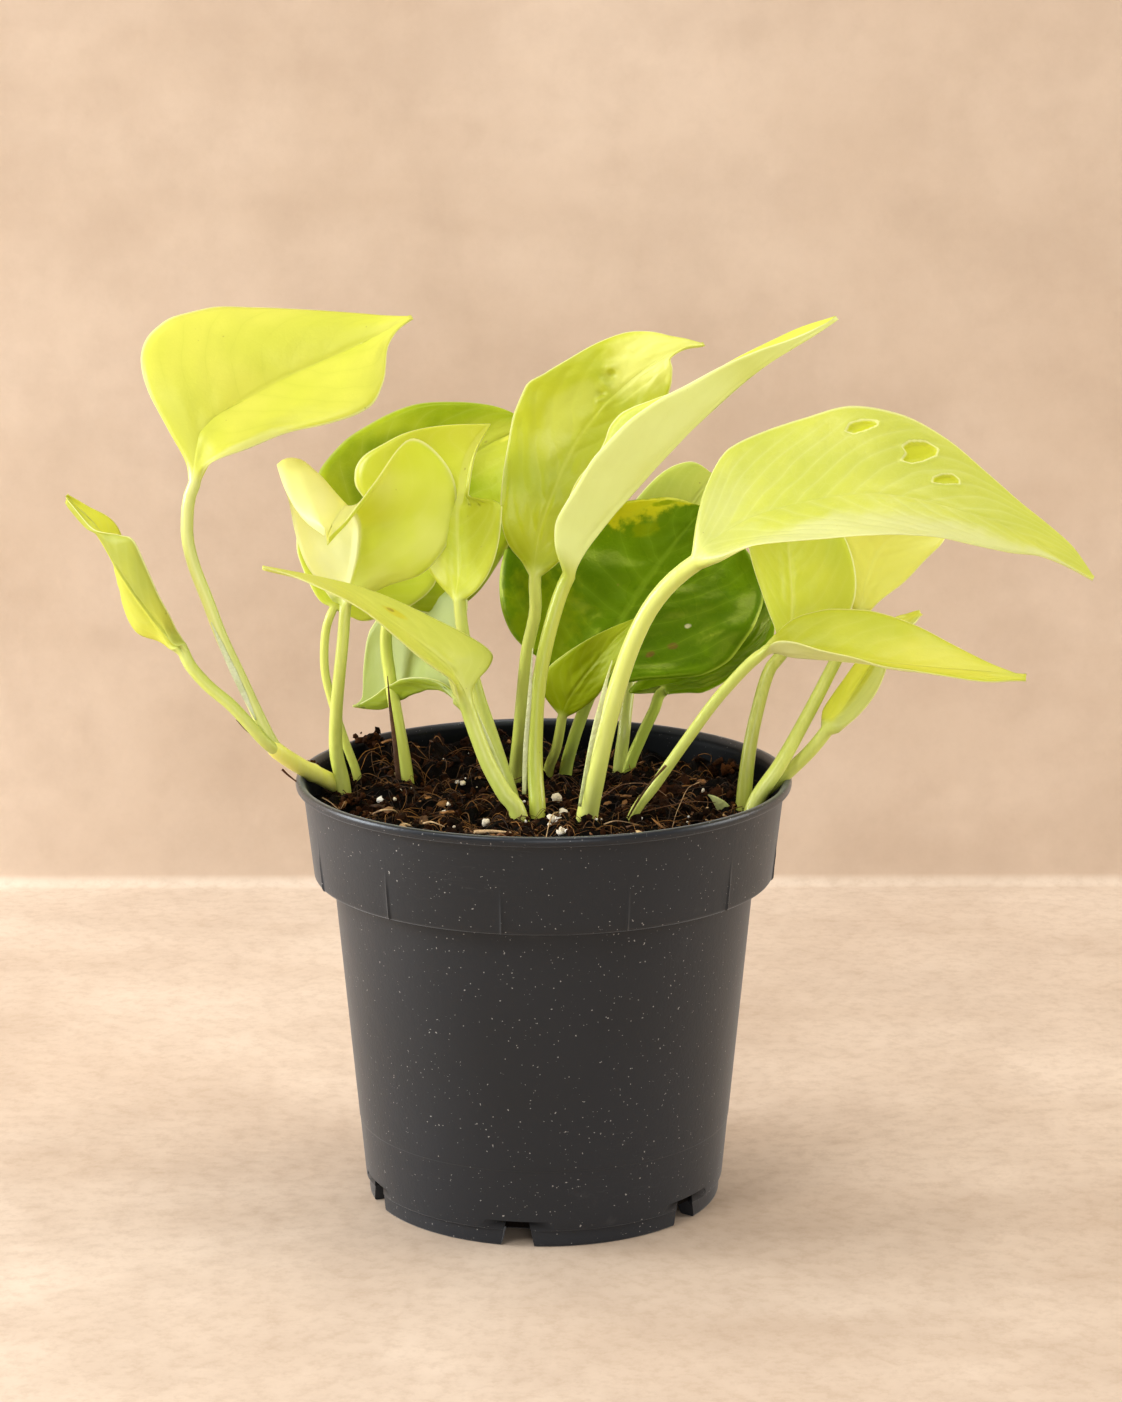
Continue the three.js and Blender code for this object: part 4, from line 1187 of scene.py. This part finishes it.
def wedges(name, top_width, foot_width, top_z, foot_z, radius):
    """Bars with a trapezoid section that run outwards through the foot at every slot."""
    points, faces = [], []
    half_top, half_foot = top_width / 2, foot_width / 2
    for i in range(SLOT_COUNT):
        angle = SLOT_FIRST_ANGLE + i * 2 * math.pi / SLOT_COUNT
        out = np.array([math.cos(angle), math.sin(angle), 0])
        side = np.array([-out[1], out[0], 0])
        foot, top = np.array([0, 0, foot_z]), np.array([0, 0, top_z])
        base = len(points)
        for r in (radius, CUTTER_REACH):
            points += [out * r - side * half_foot + foot, out * r + side * half_foot + foot]
            points += [out * r + side * half_top + top, out * r - side * half_top + top]
        for a, b in ((0, 1), (1, 2), (2, 3), (3, 0)):
            faces.append([base + a, base + b, base + b + 4, base + a + 4])
        faces.append([base + 3 - k for k in range(4)])
        faces.append([base + 4 + k for k in range(4)])
    return mesh_object(name, np.array(points) * MM, faces, smooth=False)


def cut_away(thing, cutter):
    cut = thing.modifiers.new("cut", "BOOLEAN")
    cut.operation = "DIFFERENCE"
    cut.solver = "EXACT"
    cut.object = cutter
    done = thing.evaluated_get(bpy.context.evaluated_depsgraph_get())
    data = bpy.data.meshes.new_from_object(done)
    thing.modifiers.clear()
    thing.data = data
    bpy.data.objects.remove(cutter)


def plastic_material():
    shade = Shade("charcoal_plastic")
    broad = shade.noise(14, 4)
    colour = shade.tint(srgb(PLASTIC["main"]), PLASTIC["second"], broad, 0.3, 0.7)
    dust = shade.noise(60, 5, 0.7)
    colour = shade.tint(colour, PLASTIC["dust"], dust, 0.62, 0.85, 0.12)
    specks = shade.noise(1700, 1, 0.4)
    colour = shade.tint(colour, PLASTIC["specks"], specks, 0.745, 0.77, 0.5)
    scratches = shade.noise(26, 2, where=shade.place((1, 9, 22), (0.5, 0.3, 0.8)))
    thin = shade.math("ABSOLUTE", shade.math("SUBTRACT", scratches, 0.5))
    scratched = shade.step(shade.noise(20, 1), 0.58, 0.66)
    line = shade.math("MULTIPLY", shade.step(thin, 0.006, 0.0), scratched)
    colour = shade.mix(shade.math("MULTIPLY", line, 0.05), colour, srgb(PLASTIC["scratches"]))
    # Painted shade: the inner wall is darkened, and its specular and sheen are damped
    inside = shade.point("inside")
    colour = shade.mix(shade.math("MULTIPLY", inside, 0.8), colour, srgb(PLASTIC["inside"]))
    rough = shade.step(broad, 0.2, 0.8, 0.44, 0.56)
    rough = shade.mix(shade.point("lip"), rough, (0.33, 0.33, 0.33, 1))
    open_side = shade.math("SUBTRACT", 1.0, shade.math("MULTIPLY", inside, 0.9))
    fine = shade.bump(shade.noise(1400, 2), 0.12, 0.0003)
    skin = shade.node(
        "BsdfPrincipled",
        Base_Color=colour,
        Roughness=rough,
        Specular_IOR_Level=shade.math("MULTIPLY", open_side, 0.42),
        Specular_Tint=(0.86, 0.93, 1.0, 1),
        Sheen_Weight=shade.math("MULTIPLY", open_side, 0.26),
        Sheen_Roughness=0.4,
        Sheen_Tint=(0.85, 0.92, 1.0, 1),
        Normal=shade.bump(shade.noise(90, 3), 0.06, 0.002, Normal=fine),
    )
    return shade.finish(skin)


def pot_rings(section):
    """The section turned round, and pushed out a little at each rib below the collar."""
    spread = RIB_HALF_WIDTH / COLLAR_FOOT_RADIUS
    ribs = RIB_FIRST_ANGLE + np.arange(RIB_COUNT) * 2 * np.pi / RIB_COUNT
    near = np.concatenate([ribs + k * 0.7 * spread for k in RIB_COLUMNS])
    even = np.arange(POT_COLUMNS) * 2 * np.pi / POT_COLUMNS
    angles = np.unique(np.round(np.concatenate([even, near % (2 * np.pi)]), 5))
    off = np.abs((angles[:, None] - ribs + np.pi) % (2 * np.pi) - np.pi).min(1)
    shape = np.exp(-((off / spread) ** 2))
    radius, z = section[1:-1, 0], section[1:-1, 1]
    outside = (radius > COLLAR_FOOT_RADIUS - 0.2) & (z < LIP_FOOT - 1)
    fade = smoothstep((RIB_TOP_Z - z) / 5) * outside
    knob = np.exp(-(((z - COLLAR_FOOT_Z - 1.6) / 0.8) ** 2)) * outside
    swell = RIB_HEIGHT * (fade + 0.8 * knob)[:, None] * shape
    rings = np.empty((len(z), len(angles), 3))
    rings[..., 0] = (radius[:, None] + swell) * np.cos(angles)
    rings[..., 1] = (radius[:, None] + swell) * np.sin(angles)
    rings[..., 2] = z[:, None]
    return rings


def make_pot():
    section = section_curve(POT_SECTION)
    rings = pot_rings(section)
    rows, columns = len(rings) - 1, rings.shape[1]
    points = np.concatenate([rings.reshape(-1, 3), [[0, 0, 0]], [[0, 0, INNER_FLOOR_Z]]])
    faces = ring_faces(rows, columns) + cap_faces(rows, columns, len(points) - 2)
    pot = mesh_object("pot_moulded", points * MM, faces)
    cut_away(pot, wedges("slot_cutter", **SLOT))
    cut_away(pot, wedges("step_cutter", **STEP))
    pot.data.polygons.foreach_set("use_smooth", [True] * len(pot.data.polygons))
    pot.data.set_sharp_from_angle(angle=SHARP_ANGLE)
    places = np.array([v.co[:] for v in pot.data.vertices]) / MM
    distance, z = np.hypot(places[:, 0], places[:, 1]), places[:, 2]
    outside = section[: np.argmax(section[:, 1]) + 1]
    skin_radius = np.interp(z, outside[:, 1], outside[:, 0])
    # The inner wall above the inner floor, which the plastic darkens as painted shade
    shaded_inner_wall = (distance < skin_radius - 0.6 * WALL) & (z > INNER_FLOOR_Z)
    point_value(pot, "inside", shaded_inner_wall & (z < POT_HEIGHT - 1))
    point_value(pot, "lip", z > POT_HEIGHT - 1.2)
    keep(pot, plastic_material(), "pot_plastic", "pot")


# Soil
GAP = 0.3
SOIL_Z = 98.6
SOIL_SLOPE = 0.028
SOIL_COLUMNS = 400
SOIL_RINGS = 125
SOIL_EDGE = 55.3
# The soil's side against the pot: radius and height
SOIL_SIDE = (
    (SOIL_EDGE, SOIL_Z - 4),
    (COLLAR_FOOT_RADIUS - WALL - GAP - 0.1, COLLAR_FOOT_Z + WALL + 0.4),
    (BODY_TOP_RADIUS - WALL - GAP, COLLAR_FOOT_Z + WALL - 0.4),
    (BODY_FOOT_RADIUS - WALL - GAP, INNER_FLOOR_Z + GAP),
)
# Heaps against the back of the pot: x, y, spread and rise
SOIL_HEAPS = ((-38, 32, 11, 4.2), (-24, 44, 9, 3.6), (-6, 46, 10, 4.2), (-44, -4, 8, 1.5))
# Loose soil: dark and light colour, roughness and gloss
SOIL_LOOKS = {
    # The bed's near-black tones are dark peat plus painted shade in the gaps between crumbs
    "peat_and_painted_shade": ("020100", "120904", 0.85, 0.06),
    "crumb": ("060301", "3a1e0a", 0.85, 0.06),
    "bark": ("2a1206", "a8743a", 0.75, 0.3),
    "perlite_grain": ("dccdae", "fffdf6", 0.9, 0.3),
    "fibre": ("180a03", "a06c30", 0.8, 0.3),
    "rim_chip": ("6a3c18", "e6c48e", 0.7, 0.3),
    "root_skin": ("4a2008", "e2c08e", 0.7, 0.3),
    "rim_crumb": ("0e0603", "4c2a10", 0.85, 0.06),
}
# Crumbs: how many, how fine their form is, smallest and largest size
CRUMBS = ((3600, 1, 0.35, 1.2), (90, 2, 1.2, 2.3))
CHIP_COUNT = 150
PERLITE_COUNT = 60
# White grains that the photograph shows: x, y and size
PERLITE_SPOTS = (
    (-13.7, -23.6, 1.1), (-13.4, -25.6, 0.9), (1.7, -26.2, 1.5), (3.6, -26.6, 1.1),
    (4.2, -38.0, 1.2), (3.6, -40.0, 0.8), (-23.7, -17.9, 0.7), (3.2, -3.5, 1.3),
    (4.6, -16.5, 1.2), (-39.4, -6.4, 1.0), (-19.8, 10.2, 0.7), (-22.5, -17.0, 0.6),
)
FIBRE_COUNT = 900
FIBRE_SIDES = 4
FIBRE_ROWS = 9
# Light chips along the front of the rim
RIM_CHIP_COUNT = 110
RIM_CHIP_ARC = (-155, -20)
# Long roots and splinters on the soil: middle line, radius and how light they are
ROOTS = (
    (
        [[14, -7, 100.5], [18.4, -3, 102.4], [23.3, -3, 103], [26.8, -6, 102.6], [32.4, -16, 100.5]],
        0.14,
        0.15,
    ),
    ([[22.7, -22, 100.6], [28.7, -23, 102.4], [34.8, -17, 102], [41, -12, 100.5]], 0.13, 0.1),
    ([[38, 6, 101], [34.6, -8, 103], [32.3, -22, 103], [30.5, -34, 102.6], [29.3, -42, 100.6]], 0.11, 0.6),
    ([[3.4, -21, 100.5], [2.2, -30, 102.4], [1.2, -40, 102.6], [0.3, -50, 101]], 0.2, 0.7),
    ([[-62.8, -6, 107.3], [-61.4, -6, 105.9], [-58.6, -6, 103.6]], 0.3, 0),
    ([[-72.9, -13.6, 121.4], [-71.1, -13.6, 119.2], [-69.4, -13.6, 117.6]], 0.12, 0),
    ([[-53, -9, 101], [-50.4, -21, 103], [-48, -25.3, 102.4], [-46.9, -21.8, 103.5]], 0.16, 0.5),
    ([[-16, -42, 101.2], [-12, -43.3, 101.8], [-7.5, -43.6, 101.5]], 0.55, 1),
    ([[-40, -24, 101], [-38, -27, 102.6], [-35.5, -26, 102.4], [-34.5, -23, 101]], 0.3, 0.8),
    ([[-28, -33, 101], [-26, -37, 102.4], [-23, -37.5, 101.4]], 0.26, 0.9),
    ([[14, -34, 101], [17, -37, 102.6], [22, -36, 101.4]], 0.18, 0.5),
)
ROOT_ROWS = 24
ROOT_SIDES = 8
# Loose soil on the rim: middle, spread and number of crumbs
CLUMPS = (
    ((-43, 34, 104.5), (3.2, 2.0, 2.0), 46),
    ((-56.5, 8, 104.8), (1.2, 3.0, 0.8), 16),
    ((-46, -14, 101.5), (3.0, 3.0, 1.2), 30),
    ((46, 20, 101), (2.5, 4.0, 1.5), 30),
)


def soil_height(x, y):
    x, y = np.asarray(x, float), np.asarray(y, float)
    broad = 1.1 * np.sin(x / 6.1 + 0.6) * np.cos(y / 5.2 - 0.4)
    small = 0.7 * np.sin((x + y) / 3.9 + 1.7) * np.sin((x - y) / 4.6)
    clods = 3.4 * (np.abs(grain(x, y, 5.5, 3) - 0.5) * 2) ** 1.2 - 1.6
    for hx, hy, spread, rise in SOIL_HEAPS:
        clods = clods + rise * np.exp(-(((x - hx) ** 2 + (y - hy) ** 2) / spread**2))
    rough = 1.5 * (grain(x, y, 2.4, 4) - 0.5) + 0.9 * (grain(x, y, 1.2, 5) - 0.5)
    return SOIL_Z + broad + small - SOIL_SLOPE * y + clods + rough


def soil_material(name, dark, light, rough, gloss):
    shade = Shade(name)
    colour = shade.mix(shade.point("tone"), srgb(dark), srgb(light))
    colour = shade.tint(colour, dark, shade.noise(260, 4), 0.35, 0.7, 0.7)
    colour = shade.tint(colour, light, shade.noise(900, 2), 0.6, 0.75, 0.4)
    fine = shade.bump(shade.noise(2600, 3), 0.5, 0.0004)
    skin = shade.node(
        "BsdfPrincipled",
        Base_Color=colour,
        Roughness=shade.step(shade.noise(300), 0.3, 0.7, rough - 0.15, rough),
        Specular_IOR_Level=gloss,
        Normal=shade.bump(shade.noise(800, 4), 0.6, 0.0008, Normal=fine),
    )
    return shade.finish(skin)


def make_soil_bed():
    angle = np.arange(SOIL_COLUMNS) * 2 * np.pi / SOIL_COLUMNS
    radius = np.linspace(0, SOIL_EDGE, SOIL_RINGS + 1)[1:]
    x, y = radius[:, None] * np.cos(angle), radius[:, None] * np.sin(angle)
    rings = [*np.stack([x, y, soil_height(x, y)], -1)]
    for r, z in SOIL_SIDE:
        rings.append(np.stack([r * np.cos(angle), r * np.sin(angle), np.full_like(angle, z)], -1))
    middles = [[0, 0, soil_height(0, 0)], [0, 0, INNER_FLOOR_Z + GAP]]
    points = np.concatenate([*rings, middles])
    rows = len(rings) - 1
    faces = ring_faces(rows, SOIL_COLUMNS, flip=True)
    faces += cap_faces(rows, SOIL_COLUMNS, len(points) - 2, flip=True)
    bed = mesh_object("soil_bed", points * MM, faces)
    point_value(bed, "tone", grain(points[:, 0], points[:, 1], 4.0, 9) * 0.6)
    keep(bed, soil_material("peat_and_painted_shade", *SOIL_LOOKS["peat_and_painted_shade"]), "potting_soil", "soil")


def round_form(level):
    """Points and faces of a unit ball with even triangles."""
    ball = bmesh.new()
    bmesh.ops.create_icosphere(ball, subdivisions=level, radius=1)
    points = np.array([v.co[:] for v in ball.verts])
    faces = np.array([[v.index for v in f.verts] for f in ball.faces])
    ball.free()
    return points, faces


def random_turn(draw):
    w, x, y, z = unit(draw.normal(size=4))
    return np.array(
        [
            [1 - 2 * (y * y + z * z), 2 * (x * y - z * w), 2 * (x * z + y * w)],
            [2 * (x * y + z * w), 1 - 2 * (x * x + z * z), 2 * (y * z - x * w)],
            [2 * (x * z - y * w), 2 * (y * z + x * w), 1 - 2 * (x * x + y * y)],
        ]
    )


def lying_turn(draw):
    """A turn round the upright that leaves a chip lying nearly level."""
    yaw = draw.random() * 2 * np.pi
    tip = (draw.random(2) - 0.5) * 0.9
    c, s = math.cos(yaw), math.sin(yaw)
    return np.array([[c, -s, tip[0]], [s, c, tip[1]], [-tip[0], -tip[1], 1]])


class Pile:
    """Loose pieces that make up one mesh; all their chances come from one seed."""

    def __init__(self, seed):
        self.draw = np.random.default_rng(seed)
        self.parts, self.tones, self.faces = [], [], []

    def pick(self, least, more, power=1, count=None):
        """Chance values from the least one up to that much more."""
        return least + more * self.draw.random(count) ** power

    def scatter(self, count, edge):
        """Places spread evenly over a disc."""
        r = edge * np.sqrt(self.draw.random(count))
        a = self.draw.random(count) * 2 * np.pi
        return zip(r * np.cos(a), r * np.sin(a))

    def add(self, points, faces, power=1):
        """Takes in a piece; a higher power makes light tones rarer."""
        self.parts.append(points)
        self.tones.append(self.draw.random() ** power)
        self.faces.append(faces)

    def crumb(self, form, place, size, squash, jagged, flat=False, power=1):
        """One broken grain: a ball pushed in and out at random, then stretched and turned."""
        points, faces = form
        push = 1 + jagged * (self.draw.random(len(points)) - 0.5)
        shape = points * push[:, None] * np.array(squash) * size
        turn = random_turn(self.draw)
        if flat:
            turn = lying_turn(self.draw)
        self.add(shape @ turn.T + place, faces, power)

    def make(self, name, look, smooth=False):
        counts = [len(p) for p in self.parts]
        starts = np.r_[0, np.cumsum(counts)[:-1]]
        faces = []
        for start, piece in zip(starts, self.faces):
            faces += (np.asarray(piece) + start).tolist()
        made = mesh_object(name, np.concatenate(self.parts) * MM, faces, smooth)
        point_value(made, "tone", np.repeat(self.tones, counts))
        keep(made, soil_material(look, *SOIL_LOOKS[look]), "potting_soil")


def make_crumbs():
    pile = Pile(11)
    for count, level, low, high in CRUMBS:
        form = round_form(level)
        for x, y in pile.scatter(count, SOIL_EDGE - 2.5):
            size = pile.pick(low, high - low, 2)
            z = soil_height(x, y) + size * 0.25
            pile.crumb(form, (x, y, z), size, pile.pick(0.6, 0.6, count=3), 0.7)
    pile.make("soil_crumbs", "crumb")


def make_chips():
    pile = Pile(23)
    form = round_form(1)
    for x, y in pile.scatter(CHIP_COUNT, SOIL_EDGE - 4):
        size = pile.pick(0.6, 1.9, 2)
        squash = (1.0, pile.pick(0.35, 0.3), pile.pick(0.16, 0.12))
        z = soil_height(x, y) + 0.4 + 0.3 * size
        pile.crumb(form, (x, y, z), size, squash, 0.5, flat=True, power=1.5)
    pile.make("bark_chips", "bark")


def make_perlite():
    pile = Pile(31)
    form = round_form(2)
    spots = [*PERLITE_SPOTS]
    for x, y in pile.scatter(PERLITE_COUNT, SOIL_EDGE - 5):
        spots.append((x, y, pile.pick(0.2, 0.3)))
    for x, y, size in spots:
        squash = pile.pick(0.7, 0.5, count=3)
        z = soil_height(x, y) + 0.6 + size * 0.4
        pile.crumb(form, (x, y, z), size, squash, 0.55)
    pile.make("perlite", "perlite_grain", smooth=True)


def fibre_line(pile, x, y):
    """A crooked line over the soil that stays inside the pot, and its thickness."""
    length = pile.pick(3, 9, 1.5)
    heading = pile.draw.random() * 2 * np.pi
    bend = (pile.draw.random() - 0.5) * 0.35
    lift = pile.pick(0.4, 2.2, 2)
    radius = pile.pick(0.05, 0.08)
    line = []
    for j in range(FIBRE_ROWS + 1):
        x += math.cos(heading) * length / FIBRE_ROWS
        y += math.sin(heading) * length / FIBRE_ROWS
        heading += bend + (pile.draw.random() - 0.5) * 0.3
        reach = math.hypot(x, y)
        if reach > SOIL_EDGE - 1:
            x, y = x * (SOIL_EDGE - 1) / reach, y * (SOIL_EDGE - 1) / reach
        line.append((x, y, 0.2 + lift * math.sin(math.pi * (j / FIBRE_ROWS))))
    line = np.array(line)
    ground = soil_height(line[:, 0], line[:, 1])
    line[:, 2] += np.convolve(np.pad(ground, 2, "edge"), np.ones(5) / 5, "valid")
    return line, radius


def make_fibres():
    pile = Pile(47)
    turn = np.arange(FIBRE_SIDES) * 2 * np.pi / FIBRE_SIDES
    thinning = 1 - 0.75 * np.abs(np.linspace(-1, 1, FIBRE_ROWS + 1)) ** 3
    faces = ring_faces(FIBRE_ROWS, FIBRE_SIDES)
    for x, y in pile.scatter(FIBRE_COUNT, SOIL_EDGE - 5):
        line, radius = fibre_line(pile, x, y)
        way = unit(np.gradient(line, axis=0))
        side = unit(np.cross(way, (0.1, 0.2, 1.0)))
        other = np.cross(way, side)
        ring = side[:, None] * np.cos(turn)[:, None] + other[:, None] * np.sin(turn)[:, None]
        points = line[:, None] + ring * (radius * thinning)[:, None, None]
        pile.add(points.reshape(-1, 3), faces, 1.2 if y < -15 else 2.2)
    pile.make("soil_fibres", "fibre", smooth=True)


def make_rim_chips():
    pile = Pile(83)
    form = round_form(1)
    first, last = RIM_CHIP_ARC
    for _ in range(RIM_CHIP_COUNT):
        angle = math.radians(pile.pick(first, last - first))
        r = pile.pick(SOIL_EDGE - 1.5, -12, 1.6)
        x, y = r * math.cos(angle), r * math.sin(angle)
        size = pile.pick(0.35, 1.3, 3)
        squash = (1.0, pile.pick(0.4, 0.3), pile.pick(0.25, 0.2))
        z = soil_height(x, y) + 0.9 + 0.3 * size
        pile.crumb(form, (x, y, z), size, squash, 0.7, flat=True)
    pile.make("rim_chips", "rim_chip")


def make_roots():
    skin = soil_material("root_skin", *SOIL_LOOKS["root_skin"])
    thinning = 1 - 0.5 * np.linspace(0, 1, ROOT_ROWS + 1)
    for i, (line, radius, tone) in enumerate(ROOTS):
        root = tube_mesh("long_root_%d" % (i + 1), Path(line), radius * thinning, ROOT_SIDES)
        point_value(root, "tone", [tone] * len(root.data.vertices))
        keep(root, skin, "potting_soil")


def make_clumps():
    pile = Pile(71)
    form = round_form(1)
    for middle, spread, count in CLUMPS:
        for _ in range(count):
            place = np.array(middle) + pile.draw.normal(size=3) * np.array(spread) * 0.5
            size = pile.pick(0.4, 0.9, 2)
            pile.crumb(form, place, size, pile.pick(0.6, 0.7, count=3), 0.8)
    pile.make("rim_crumbs", "rim_crumb", smooth=True)


# Dry sheaths and splits along the stalks: middle line, half widths, dark and light colour
SHEATHS = {
    "sheath_08": (
        [[-35.8, 17.8, 98], [-36.7, 18.7, 107.3], [-37.9, 20.4, 117], [-38.5, 21.5, 124.1]],
        (0.7, 0.6, 0.4, 0.1),
        ("3a2012", "6a4420"),
    ),
    "sheath_01": (
        [[-78.6, -10.8, 144.4], [-75.2, -11.5, 136.5], [-71.5, -12, 128.2], [-68.3, -12.4, 121]],
        (0.1, 0.6, 0.8, 0.7, 0.2),
        ("c4cc96", "e4e9cc"),
    ),
    "sheath_11": (
        [
            [8.4, -29, 104], [9.9, -30.6, 113], [11.5, -31.8, 121.5], [13.2, -32.8, 129],
            [14.5, -33.4, 135.1], [15.8, -33.8, 140],
        ],
        (0.4, 0.5, 0.6, 0.7, 0.5, 0.1),
        ("ccd47c", "e8edb8"),
    ),
    "sheath_10": (
        [[-4.7, -13.5, 103], [-4.3, -12.3, 114], [-3.4, -11.6, 125.5], [-2.6, -10.8, 138]],
        (0.5, 0.6, 0.5, 0.1),
        ("c2c488", "e2e2bc"),
    ),
    "sheath_17": (
        [[43.6, -10.6, 98], [42, -11.2, 100], [40.4, -11.6, 101.6], [39.2, -12, 102.4]],
        (1.6, 1.4, 0.8, 0.1),
        ("b6c26a", "dde0a4"),
    ),
    "split_16": (
        [[19.8, -24.9, 100], [22.3, -25, 104.6], [25.3, -25, 108.9], [28.7, -25, 112.9]],
        (0.2, 0.3, 0.25, 0.35),
        ("3a2412", "7a5a28"),
    ),
    "sheath_06": (
        [[-8, -16, 100], [-10.4, -15.2, 108], [-13.6, -14.6, 117], [-16, -14.4, 124]],
        (1.0, 1.1, 0.8, 0.1),
        ("c8d078", "e8eab8"),
    ),
}
SHEATH_SIDES = 12
SHEATH_ROWS = 30
SHEATH_ROUGH, SHEATH_GLOSS = 0.6, 0.3


def make_sheaths():
    sides, rows = SHEATH_SIDES, SHEATH_ROWS
    turn = np.arange(sides) * 2 * np.pi / sides
    shares = np.linspace(0, 1, rows + 1)
    faces = ring_faces(rows, sides)
    faces.append(list(range(sides))[::-1])
    faces.append([rows * sides + i for i in range(sides)])
    for name, (line, half_widths, colours) in SHEATHS.items():
        path = Path(line)
        t, _ = path.even(0, path.last, shares)
        wide = np.interp(shares, np.linspace(0, 1, len(half_widths)), half_widths)
        way = path.along(t)
        side = unit(np.cross(way, (0, 1, 0)))
        out = np.cross(way, side)
        across = np.cos(turn)
        curl = 0.5 * (1 - across**2)
        depth = 0.16 * np.sin(turn) + 0.35 * curl
        ring = side[:, None] * (wide[:, None] * across)[..., None]
        ring = ring + out[:, None] * (np.minimum(wide, 0.8)[:, None] * depth)[..., None]
        points = (path.at(t)[:, None] + ring).reshape(-1, 3)
        made = mesh_object(name, points * MM, faces)
        point_value(made, "tone", np.repeat(np.linspace(0.3, 0.8, rows + 1), sides))
        keep(made, soil_material(name + "_skin", *colours, SHEATH_ROUGH, SHEATH_GLOSS), "stem")


# Floor and wall, in metres
COVE = 0.004
FLOOR_FRONT, FLOOR_END = -2.0, 2.5
WALL_Y = 0.27
WALL_TOP = 2.4
HALF_STAGE = 3.0
COVE_STEPS = 12
# Floor and wall colours; the streaks colour is painted shadow
STAGE = dict(
    floor="d8c7b4", wall="cfbaa5", broad="a98e74", streaks="a08468", fine="8f7660", grit="8f7052"
)


def backdrop_material():
    shade = Shade("backdrop_plain")
    height = shade.node("SeparateXYZ", "Z", Vector=shade.place())
    upright = shade.step(height, 0.001, COVE)
    colour = shade.mix(upright, srgb(STAGE["floor"]), srgb(STAGE["wall"]))
    broad = shade.noise(5, 6, 0.6)
    colour = shade.tint(colour, STAGE["broad"], broad, 0.3, 0.75, 0.5)
    # Painted shadow: soft darker streaks stretched across the floor and wall
    streak = shade.noise(7, 3, where=shade.place((0.6, 3, 3)))
    colour = shade.tint(colour, STAGE["streaks"], streak, 0.45, 0.7, 0.2)
    fine = shade.noise(28, 5, 0.65)
    colour = shade.tint(colour, STAGE["fine"], fine, 0.35, 0.7, 0.18)
    grit = shade.step(shade.noise(220, 6, 0.75), 0.42, 0.68, 0.0, 0.22)
    level = shade.math("SUBTRACT", 1.0, shade.math("MULTIPLY", upright, 0.8))
    colour = shade.mix(shade.math("MULTIPLY", grit, level), colour, srgb(STAGE["grit"]))
    relief = shade.bump(shade.noise(45, 4), 0.2, 0.0025)
    skin = shade.node("BsdfPrincipled", Base_Color=colour, Roughness=0.75, Normal=relief)
    # The wall is clear from behind, so that it never hides the back of the plant
    reverse = shade.node("NewGeometry", "Backfacing")
    return shade.finish(shade.blend(reverse, skin, shade.node("BsdfTransparent")))


def make_stage():
    turn = np.linspace(0, np.pi / 2, COVE_STEPS + 1)
    bend = [(WALL_Y - COVE + COVE * math.sin(t), COVE - COVE * math.cos(t)) for t in turn]
    line = [(FLOOR_FRONT, 0.0), *bend, (WALL_Y, WALL_TOP)]
    points = [(x, y, z) for y, z in line for x in (-HALF_STAGE, HALF_STAGE)]
    faces = [[2 * i, 2 * i + 1, 2 * i + 3, 2 * i + 2] for i in range(len(line) - 1)]
    faces.append([len(points) + i for i in (0, 1, 3, 2)])
    points += [(x, y, 0.0) for y in (WALL_Y - COVE, FLOOR_END) for x in (-HALF_STAGE, HALF_STAGE)]
    backdrop = mesh_object("backdrop", points, faces)
    backdrop.data.materials.append(backdrop_material())


make_camera()
make_lights()
make_stage()
make_pot()
make_soil_bed()
make_crumbs()
make_chips()
make_perlite()
make_fibres()
make_rim_chips()
make_roots()
make_clumps()
make_stem()
make_sheaths()
make_leaves()
